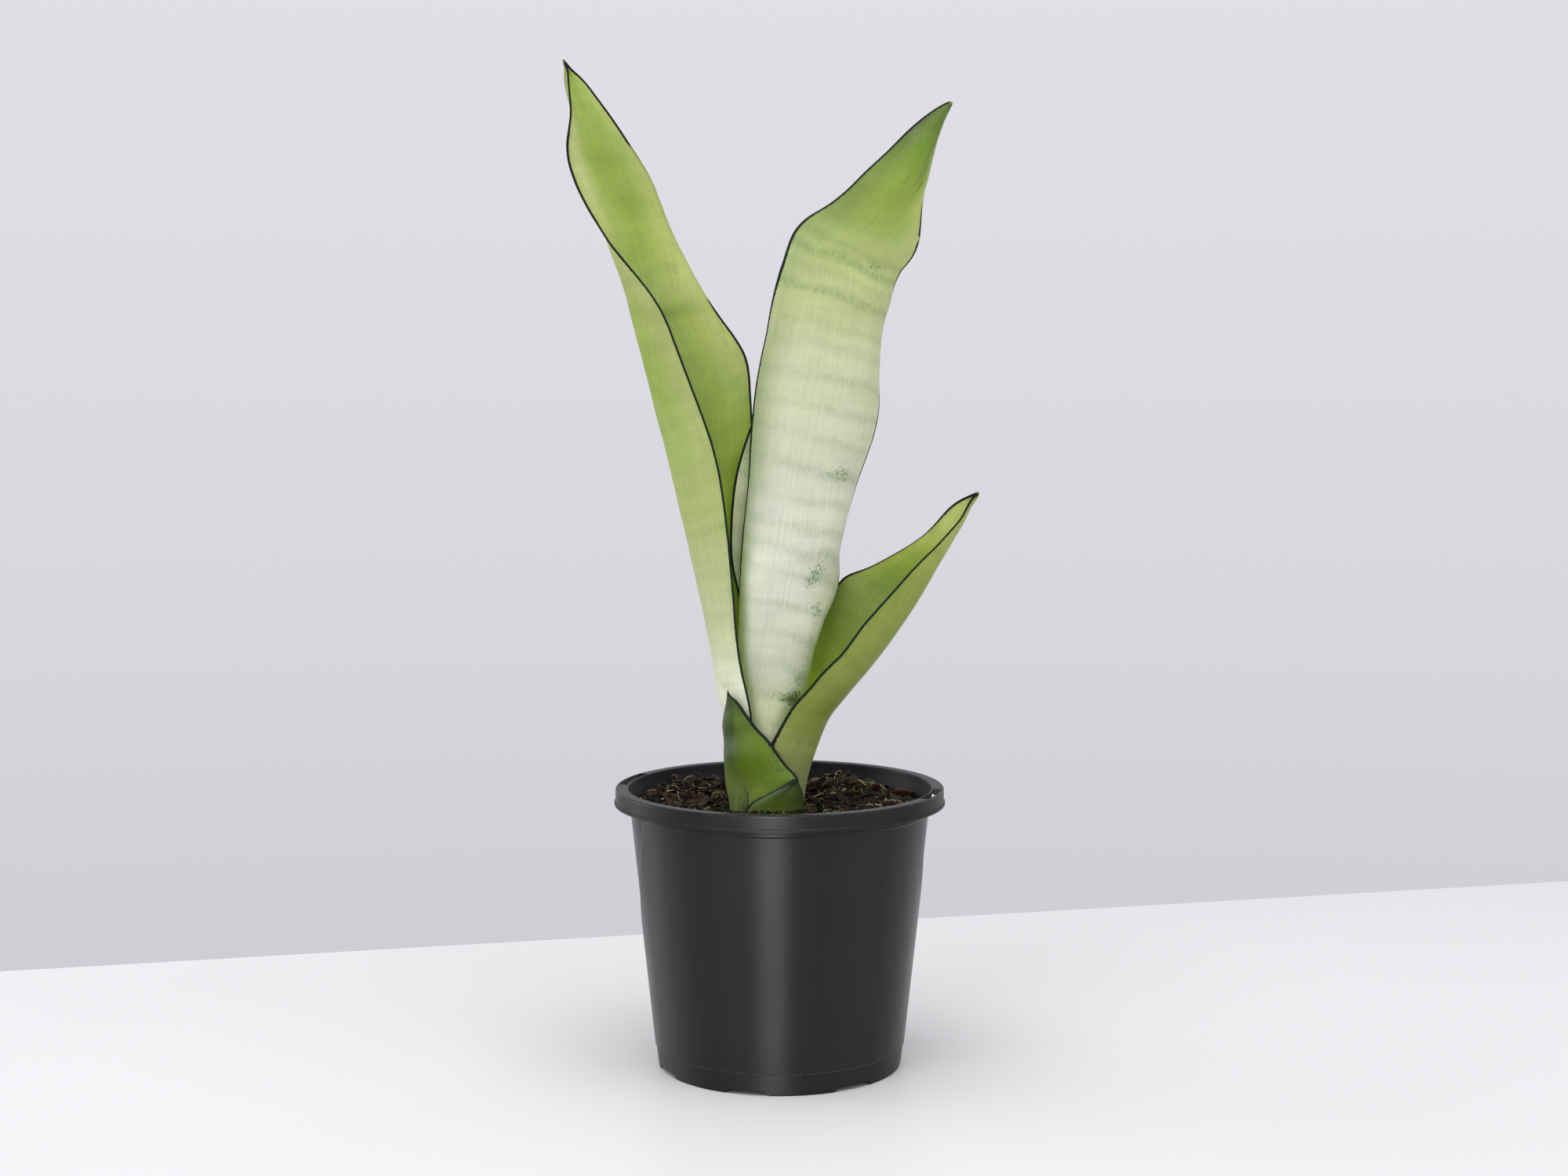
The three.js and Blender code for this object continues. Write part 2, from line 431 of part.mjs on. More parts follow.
function leaf(name) {
  const rows = LEAF_ROWS[name],
    [nu, nv] = LEAF_STEPS[name],
    [tBase, tTip, tEdge] = LEAF_THICK[name];
  const sections = rows.map((r) => section(r, nv));
  const t = [0];
  for (let i = 1; i < rows.length; i++) {
    let d = 0;
    for (const j of [0, nv / 2, nv]) d += sections[i][j].distanceTo(sections[i - 1][j]) / 3;
    t.push(t[i - 1] + d);
  }
  const tt = Array.from({ length: nu + 1 }, (_, i) => (t[t.length - 1] * i) / nu);
  const grid = Array.from({ length: nu + 1 }, () => []);
  for (let j = 0; j <= nv; j++) {
    const q = ["x", "y", "z"].map((k) =>
      spline(
        t,
        sections.map((s) => s[j][k]),
        tt,
      ),
    );
    for (let i = 0; i <= nu; i++) grid[i].push(new THREE.Vector3(q[0][i], q[1][i], q[2][i]));
  }
  const front = [],
    back = [];
  for (let i = 0; i <= nu; i++)
    for (let j = 0; j <= nv; j++) {
      const du = grid[Math.min(nu, i + 1)][j].clone().sub(grid[Math.max(0, i - 1)][j]);
      const dv = grid[i][Math.min(nv, j + 1)].clone().sub(grid[i][Math.max(0, j - 1)]);
      const n = du.cross(dv).normalize();
      const v = Math.abs((2 * j) / nv - 1),
        mid = tBase + ((tTip - tBase) * i) / nu;
      const half = (tEdge + (mid - tEdge) * (1 - v ** 2.5)) / 2;
      front.push(grid[i][j].clone().addScaledVector(n, half));
      back.push(grid[i][j].clone().addScaledVector(n, -half));
    }
  const points = [...front, ...back],
    off = front.length,
    at = (i, j) => i * (nv + 1) + j;
  const tris = [];
  const quad = (a, b, c, d) => tris.push(a, b, c, a, c, d);
  for (let i = 0; i < nu; i++)
    for (let j = 0; j < nv; j++) {
      quad(at(i, j), at(i + 1, j), at(i + 1, j + 1), at(i, j + 1));
      quad(off + at(i, j), off + at(i, j + 1), off + at(i + 1, j + 1), off + at(i + 1, j));
    }
  for (let i = 0; i < nu; i++) {
    quad(at(i, 0), off + at(i, 0), off + at(i + 1, 0), at(i + 1, 0));
    quad(at(i, nv), at(i + 1, nv), off + at(i + 1, nv), off + at(i, nv));
  }
  for (let j = 0; j < nv; j++) {
    quad(at(0, j), at(0, j + 1), off + at(0, j + 1), off + at(0, j));
    quad(at(nu, j), off + at(nu, j), off + at(nu, j + 1), at(nu, j + 1));
  }
  const g = new THREE.BufferGeometry();
  g.setAttribute(
    "position",
    new THREE.BufferAttribute(new Float32Array(points.flatMap((p) => [p.x, p.y, p.z])), 3),
  );
  g.setIndex(tris);
  const s = solid(g);
  return geometryOf(s.volume() < 0 ? solid(flipped(g)) : s);
}
function flipped(g) {
  const f = g.clone(),
    a = f.index.array;
  for (let i = 0; i < a.length; i += 3) [a[i + 1], a[i + 2]] = [a[i + 2], a[i + 1]];
  return f;
}

// ---------------------------------------------------------------- loose bark
function bark([, x, y, length, width, height, turn], seed) {
  const g = new THREE.IcosahedronGeometry(1, 1);
  g.deleteAttribute("normal");
  g.deleteAttribute("uv");
  const m = mergeVertices(g, 1e-4);
  const p = m.attributes.position;
  for (let i = 0; i < p.count; i++) {
    const k = 0.86 + 0.14 * Math.sin(7.3 * p.getX(i) + 5.1 * p.getY(i) + 9.7 * p.getZ(i) + seed * 2.1);
    const sq = (a) => Math.sign(a) * Math.abs(a) ** 0.7;
    p.setXYZ(i, (k * sq(p.getX(i)) * length) / 2, (k * sq(p.getY(i)) * width) / 2, (k * sq(p.getZ(i)) * height) / 2);
  }
  m.rotateZ(rad(turn));
  m.computeBoundingBox();
  let high = -Infinity;
  for (let i = 0; i < p.count; i++) high = Math.max(high, mixTop(x + p.getX(i), y + p.getY(i)) - p.getZ(i));
  m.translate(x, y, high + 0.5);
  return m;
}

const plant = new THREE.Group();
plant.add(piece("nursery_pot", pot(), POT_BLACK, 0.38));
plant.add(piece("potting_mix", mix(), MIX_BROWN, 0.95));
for (const name of Object.keys(LEAF_ROWS)) plant.add(piece(name, leaf(name), LEAF_COLOURS[name], 0.45));
BARK.forEach((b, i) => plant.add(piece(b[0], bark(b, i), BARK_BROWN, 0.9)));

export default plant;
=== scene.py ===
# Potted snake plant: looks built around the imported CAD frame. Metres, +Z up, the front faces -Y.
import math
import bpy
import bmesh
import numpy as np
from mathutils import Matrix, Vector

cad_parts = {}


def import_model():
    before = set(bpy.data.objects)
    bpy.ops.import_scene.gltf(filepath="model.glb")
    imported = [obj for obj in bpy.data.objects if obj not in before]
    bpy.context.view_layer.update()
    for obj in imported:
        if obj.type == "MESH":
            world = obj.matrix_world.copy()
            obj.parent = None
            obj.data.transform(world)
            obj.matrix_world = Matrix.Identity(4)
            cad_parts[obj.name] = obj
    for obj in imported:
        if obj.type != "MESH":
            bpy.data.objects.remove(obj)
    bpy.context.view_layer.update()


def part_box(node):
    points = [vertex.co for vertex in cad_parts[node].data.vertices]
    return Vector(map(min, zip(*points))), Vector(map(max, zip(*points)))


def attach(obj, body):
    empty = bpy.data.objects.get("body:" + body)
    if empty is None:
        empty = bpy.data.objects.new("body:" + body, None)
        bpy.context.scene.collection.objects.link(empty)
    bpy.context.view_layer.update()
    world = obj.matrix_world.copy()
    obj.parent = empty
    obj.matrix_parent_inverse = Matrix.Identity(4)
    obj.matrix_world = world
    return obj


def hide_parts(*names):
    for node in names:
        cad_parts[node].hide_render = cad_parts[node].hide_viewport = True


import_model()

scene = bpy.context.scene
MM = 0.001


# ------------------------------------------------------------------ small maths
def rad(d):
    return d * math.pi / 180.0


def smooth(a, b, x):
    t = np.clip((np.asarray(x, float) - a) / (b - a), 0.0, 1.0)
    return t * t * (3 - 2 * t)


def _hash(ix, iy, iz, seed):
    h = (ix.astype(np.int64) * 374761393 + iy.astype(np.int64) * 668265263
         + iz.astype(np.int64) * 2147483647 + np.int64(seed) * 974634777) & 0xFFFFFFFF
    h = ((h ^ (h >> 13)) * 1274126177) & 0xFFFFFFFF
    h = ((h ^ (h >> 16)) * 2246822519) & 0xFFFFFFFF
    h = h ^ (h >> 15)
    return (h & 0xFFFFFF) / float(0xFFFFFF)


def vnoise(p, seed=0):
    """value noise in 0..1 at the rows of p"""
    p = np.asarray(p, float)
    i = np.floor(p).astype(np.int64)
    f = p - i
    f = f * f * f * (f * (f * 6 - 15) + 10)
    out = 0.0
    for dx in (0, 1):
        wx = f[:, 0] if dx else 1 - f[:, 0]
        for dy in (0, 1):
            wy = f[:, 1] if dy else 1 - f[:, 1]
            for dz in (0, 1):
                wz = f[:, 2] if dz else 1 - f[:, 2]
                out = out + wx * wy * wz * _hash(i[:, 0] + dx, i[:, 1] + dy, i[:, 2] + dz, seed)
    return out


def fbm(p, seed=0, octaves=4, gain=0.5):
    p = np.asarray(p, float)
    a, s, t = 1.0, 0.0, 0.0
    for k in range(octaves):
        s = s + a * (vnoise(p, seed + 17 * k) * 2 - 1)
        t += a
        a *= gain
        p = p * 2.03 + 11.7
    return s / t


def natural_spline(t, y, tt):
    """natural cubic spline through the rows of y at parameters t, read at tt"""
    t, y = np.asarray(t, float), np.asarray(y, float)
    n = len(t)
    h = np.diff(t)
    A = np.zeros((n, n))
    B = np.zeros((n,) + y.shape[1:])
    A[0, 0] = A[-1, -1] = 1
    for i in range(1, n - 1):
        A[i, i - 1], A[i, i], A[i, i + 1] = h[i - 1], 2 * (h[i - 1] + h[i]), h[i]
        B[i] = 6 * ((y[i + 1] - y[i]) / h[i] - (y[i] - y[i - 1]) / h[i - 1])
    m = np.linalg.solve(A, B)
    k = np.clip(np.searchsorted(t, tt, side="right") - 1, 0, n - 2)
    u, v, e = (tt - t[k])[:, None], (t[k + 1] - tt)[:, None], h[k][:, None]
    return ((m[k] * v ** 3 + m[k + 1] * u ** 3) / (6 * e) + (y[k] / e - m[k] * e / 6) * v
            + (y[k + 1] / e - m[k + 1] * e / 6) * u)


def lin(c):
    """sRGB 0..255 to linear"""
    c = np.asarray(c, float) / 255.0
    return np.where(c <= 0.04045, c / 12.92, ((c + 0.055) / 1.055) ** 2.4)


def ramp(stops, x):
    """linear-light colours interpolated between (position, sRGB) stops"""
    xs = np.array([s[0] for s in stops], float)
    cs = np.array([lin(s[1]) for s in stops])
    o = np.argsort(xs)
    return np.stack([np.interp(x, xs[o], cs[o, k]) for k in range(3)], -1)


# ------------------------------------------------------------------ meshes
def mesh_object(name, verts, faces, floats=None, colors=None, smooth_angle=None):
    """verts in millimetres; faces as an (n,3) or (n,4) array or a list of such arrays"""
    me = bpy.data.meshes.new(name)
    verts = np.asarray(verts, np.float64) * MM
    groups = faces if isinstance(faces, list) else [faces]
    groups = [np.asarray(f, np.int32) for f in groups if len(f)]
    loops = np.concatenate([f.ravel() for f in groups])
    totals = np.concatenate([np.full(len(f), f.shape[1], np.int32) for f in groups])
    starts = np.r_[0, np.cumsum(totals)[:-1]].astype(np.int32)
    me.vertices.add(len(verts))
    me.vertices.foreach_set("co", verts.astype(np.float32).ravel())
    me.loops.add(len(loops))
    me.loops.foreach_set("vertex_index", loops.astype(np.int32))
    me.polygons.add(len(totals))
    me.polygons.foreach_set("loop_start", starts)
    me.polygons.foreach_set("loop_total", totals)
    me.update(calc_edges=True)
    me.validate()
    me.polygons.foreach_set("use_smooth", np.ones(len(me.polygons), bool))
    for key, val in (floats or {}).items():
        a = me.attributes.new(key, "FLOAT", "POINT")
        a.data.foreach_set("value", np.asarray(val, np.float32).ravel())
    for key, val in (colors or {}).items():
        val = np.asarray(val, np.float32)
        if val.shape[1] == 3:
            val = np.concatenate([val, np.ones((len(val), 1), np.float32)], 1)
        a = me.attributes.new(key, "FLOAT_COLOR", "POINT")
        a.data.foreach_set("color", val.ravel())
    if smooth_angle is not None:
        me.set_sharp_from_angle(angle=rad(smooth_angle))
    o = bpy.data.objects.new(name, me)
    scene.collection.objects.link(o)
    return o


def outward(o):
    bm = bmesh.new()
    bm.from_mesh(o.data)
    bmesh.ops.recalc_face_normals(bm, faces=bm.faces)
    bm.to_mesh(o.data)
    bm.free()
    o.data.update()


# ------------------------------------------------------------------ shader building
class Tree:
    def __init__(self, name):
        self.mat = bpy.data.materials.new(name)
        self.mat.use_nodes = True
        self.nt = self.mat.node_tree
        self.nt.nodes.clear()
        self.out = self.nt.nodes.new("ShaderNodeOutputMaterial")
        self.bsdf = self.nt.nodes.new("ShaderNodeBsdfPrincipled")
        self.nt.links.new(self.bsdf.outputs[0], self.out.inputs[0])

    def new(self, kind, **props):
        n = self.nt.nodes.new(kind)
        for k, v in props.items():
            setattr(n, k, v)
        return n

    def put(self, sock, v):
        if v is None:
            return
        if isinstance(v, bpy.types.NodeSocket):
            self.nt.links.new(v, sock)
        elif sock.type == "RGBA" and hasattr(v, "__len__") and len(v) == 3:
            sock.default_value = (*[float(c) for c in v], 1.0)
        elif hasattr(v, "__len__"):
            sock.default_value = [float(c) for c in v]
        else:
            sock.default_value = v

    def attr(self, name, which="Fac"):
        n = self.new("ShaderNodeAttribute", attribute_name=name, attribute_type="GEOMETRY")
        return n.outputs[which]

    def m(self, op, a, b=None, c=None, clamp=False):
        n = self.new("ShaderNodeMath", operation=op, use_clamp=clamp)
        for s, v in zip(n.inputs, (a, b, c)):
            self.put(s, v)
        return n.outputs[0]

    def add(self, a, b): return self.m("ADD", a, b)
    def sub(self, a, b): return self.m("SUBTRACT", a, b)
    def mul(self, a, b, clamp=False): return self.m("MULTIPLY", a, b, clamp=clamp)

    def step(self, a, b, x):
        """0 below a, 1 above b, smooth between; a may be above b"""
        n = self.new("ShaderNodeMapRange", interpolation_type="SMOOTHSTEP")
        self.put(n.inputs["Value"], x)
        if not isinstance(a, bpy.types.NodeSocket) and not isinstance(b, bpy.types.NodeSocket) and a > b:
            self.put(n.inputs["From Min"], b)
            self.put(n.inputs["From Max"], a)
            self.put(n.inputs["To Min"], 1.0)
            self.put(n.inputs["To Max"], 0.0)
        else:
            self.put(n.inputs["From Min"], a)
            self.put(n.inputs["From Max"], b)
        return n.outputs[0]

    def vec(self, x, y, z=0.0):
        n = self.new("ShaderNodeCombineXYZ")
        for s, v in zip(n.inputs, (x, y, z)):
            self.put(s, v)
        return n.outputs[0]

    def vscale(self, v, s):
        n = self.new("ShaderNodeVectorMath", operation="MULTIPLY")
        self.put(n.inputs[0], v)
        self.put(n.inputs[1], s)
        return n.outputs[0]

    def vadd(self, v, s):
        n = self.new("ShaderNodeVectorMath", operation="ADD")
        self.put(n.inputs[0], v)
        self.put(n.inputs[1], s)
        return n.outputs[0]

    def noise(self, v, scale=1.0, detail=3.0, rough=0.5, distortion=0.0, color=False):
        n = self.new("ShaderNodeTexNoise", noise_dimensions="3D")
        self.put(n.inputs["Vector"], v)
        self.put(n.inputs["Scale"], scale)
        self.put(n.inputs["Detail"], detail)
        self.put(n.inputs["Roughness"], rough)
        self.put(n.inputs["Distortion"], distortion)
        return n.outputs["Color" if color else "Fac"]

    def voronoi(self, v, scale=1.0, feature="F1", out="Distance", rand=1.0):
        n = self.new("ShaderNodeTexVoronoi", feature=feature)
        self.put(n.inputs["Vector"], v)
        self.put(n.inputs["Scale"], scale)
        self.put(n.inputs["Randomness"], rand)
        return n.outputs[out]

    def mix(self, fac, a, b, mode="MIX"):
        n = self.new("ShaderNodeMix", data_type="RGBA", blend_type=mode, clamp_factor=True)
        self.put(n.inputs[0], fac)
        self.put(n.inputs[6], a)
        self.put(n.inputs[7], b)
        return n.outputs[2]

    def scale_color(self, col, k):
        """col times a grey number"""
        n = self.new("ShaderNodeVectorMath", operation="SCALE")
        self.put(n.inputs[0], col)
        self.put(n.inputs["Scale"], k)
        return n.outputs[0]

    def bump(self, height, distance, strength=1.0, normal=None):
        n = self.new("ShaderNodeBump")
        self.put(n.inputs["Height"], height)
        n.inputs["Distance"].default_value = distance
        n.inputs["Strength"].default_value = strength
        if normal is not None:
            self.put(n.inputs["Normal"], normal)
        return n.outputs[0]

    def object_mm(self):
        n = self.new("ShaderNodeTexCoord")
        return self.vscale(n.outputs["Object"], (1000.0, 1000.0, 1000.0))

    def set(self, **kw):
        names = dict(color="Base Color", roughness="Roughness", specular="Specular IOR Level", normal="Normal",
                     sheen="Sheen Weight", coat="Coat Weight", coat_roughness="Coat Roughness",
                     sss="Subsurface Weight", metallic="Metallic")
        for k, v in kw.items():
            self.put(self.bsdf.inputs[names[k]], v)
        return self


def finish_piece(o, mat, slot, *nodes):
    o.data.materials.clear()
    o.data.materials.append(mat)
    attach(o, "root")
    if nodes:
        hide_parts(*nodes)
    return o


# ------------------------------------------------------------------ camera and stage
cam_data = bpy.data.cameras.new("camera")
cam_data.sensor_fit = "HORIZONTAL"
cam_data.sensor_width = 36.0
cam_data.lens = 55.1
cam_data.clip_start = 0.05
cam_data.clip_end = 60.0
cam = bpy.data.objects.new("camera", cam_data)
cam.location = (0.00262, -1.444, 0.4231)
cam.rotation_euler = (rad(90 - 5.202), 0.0, 0.0)
scene.collection.objects.link(cam)
scene.camera = cam
scene.view_settings.view_transform = "Standard"
scene.view_settings.look = "None"
scene.view_settings.exposure = 0.0
scene.view_settings.gamma = 1.0

# table top: its far edge runs behind the pot at a slight angle, and it reaches far out to the other sides
def stage_table():
    p0, p1 = np.array([-551.0, 219.5]), np.array([655.0, 520.0])
    d = (p1 - p0) / np.linalg.norm(p1 - p0)
    n = np.array([d[1], -d[0]])
    a, b = p0 - d * 1700, p1 + d * 1700
    outline = [a, b, b + n * 2400, a + n * 2400]
    bm = bmesh.new()
    vs = [bm.verts.new((p[0] * MM, p[1] * MM, 0.0)) for p in outline]
    f = bm.faces.new(vs)
    r = bmesh.ops.extrude_face_region(bm, geom=[f])
    for v in [g for g in r["geom"] if isinstance(g, bmesh.types.BMVert)]:
        v.co.z = -0.028
    bmesh.ops.recalc_face_normals(bm, faces=bm.faces)
    top = [e for e in bm.edges if all(abs(v.co.z) < 1e-6 for v in e.verts)]
    bmesh.ops.bevel(bm, geom=top, offset=0.0012, segments=3, profile=0.5, affect="EDGES")
    for f in bm.faces:
        f.smooth = False
    me = bpy.data.meshes.new("table_top")
    bm.to_mesh(me)
    bm.free()
    o = bpy.data.objects.new("table_top", me)
    scene.collection.objects.link(o)
    t = Tree("table_white")
    v = t.object_mm()
    k = t.noise(v, 0.006, 2.0, 0.5)
    t.set(color=t.mix(k, TABLE_A, TABLE_B), roughness=t.m("MULTIPLY_ADD", k, 0.08, 0.42), specular=0.28)
    o.data.materials.append(t.mat)


TABLE_A = tuple(lin((249, 249, 250)))
TABLE_B = tuple(lin((252, 252, 253)))
stage_table()


def world():
    w = bpy.data.worlds.new("studio")
    scene.world = w
    w.use_nodes = True
    nt = w.node_tree
    nt.nodes.clear()
    out = nt.nodes.new("ShaderNodeOutputWorld")
    bg = nt.nodes.new("ShaderNodeBackground")
    tc = nt.nodes.new("ShaderNodeTexCoord")
    sep = nt.nodes.new("ShaderNodeSeparateXYZ")
    rp = nt.nodes.new("ShaderNodeValToRGB")
    mr = nt.nodes.new("ShaderNodeMapRange")
    nt.links.new(tc.outputs["Generated"], sep.inputs[0])
    nt.links.new(sep.outputs["Z"], mr.inputs["Value"])
    mr.inputs["From Min"].default_value = -0.30
    mr.inputs["From Max"].default_value = 1.0
    nt.links.new(mr.outputs[0], rp.inputs[0])
    # a pale sweep round the horizon under a darker ceiling
    e = rp.color_ramp.elements
    e[0].position, e[0].color = 0.0, (*lin((206, 205, 211)), 1)
    e[1].position, e[1].color = 1.0, (*lin((128, 128, 132)), 1)
    for pos, c in ((0.056, (207, 206, 212)), (0.16, (216, 215, 221)), (0.28, (222, 221, 227)), (0.40, (226, 225, 231)),
                   (0.47, (226, 225, 231)), (0.62, (140, 140, 144))):
        x = e.new(pos)
        x.color = (*lin(c), 1)
    nt.links.new(rp.outputs[0], bg.inputs[0])
    bg.inputs[1].default_value = 1.0
    nt.links.new(bg.outputs[0], out.inputs[0])


world()


def area(name, loc, target, size, size_y, power, color=(1, 1, 1)):
    from mathutils import Vector
    d = bpy.data.lights.new(name, "AREA")
    d.shape = "RECTANGLE"
    d.size, d.size_y = size, size_y
    d.energy = power
    d.color = color
    o = bpy.data.objects.new(name, d)
    o.location = loc
    o.rotation_euler = (Vector(target) - Vector(loc)).to_track_quat("-Z", "Y").to_euler()
    scene.collection.objects.link(o)
    return o


# broad soft light: a bank overhead, one above and in front, the key at the left front, and a fill on each side
area("overhead", (0.0, -0.2, 2.6), (0, 0, 0), 3.4, 3.4, 32.0)
area("top_front", (0.0, -1.1, 2.3), (0, 0, 0), 2.8, 2.2, 20.0)
area("key_bank", (-1.7, -2.7, 1.1), (0, 0, 0.25), 2.2, 2.0, 19.0)
area("left_bank", (-2.3, 0.5, 0.85), (0, 0, 0.2), 1.7, 1.5, 11.0)
area("right_bank", (2.3, -1.2, 0.9), (0, 0, 0.2), 1.8, 1.6, 9.0)


# a tall soft strip beside the camera that only the pot's plastic picks up, as its long highlight, and a panel at
# its left that lights the edge of the wall
strip = area("pot_strip", (-0.20, -2.10, 0.72), (0, 0, 0.10), 0.72, 1.40, 62.0)
edge_left = area("pot_edge_left", (-1.58, 0.64, 0.40), (0, 0, 0.10), 0.80, 1.00, 3.4)
for o in [x for x in scene.objects if x.type == "LIGHT"]:
    o.visible_camera = False


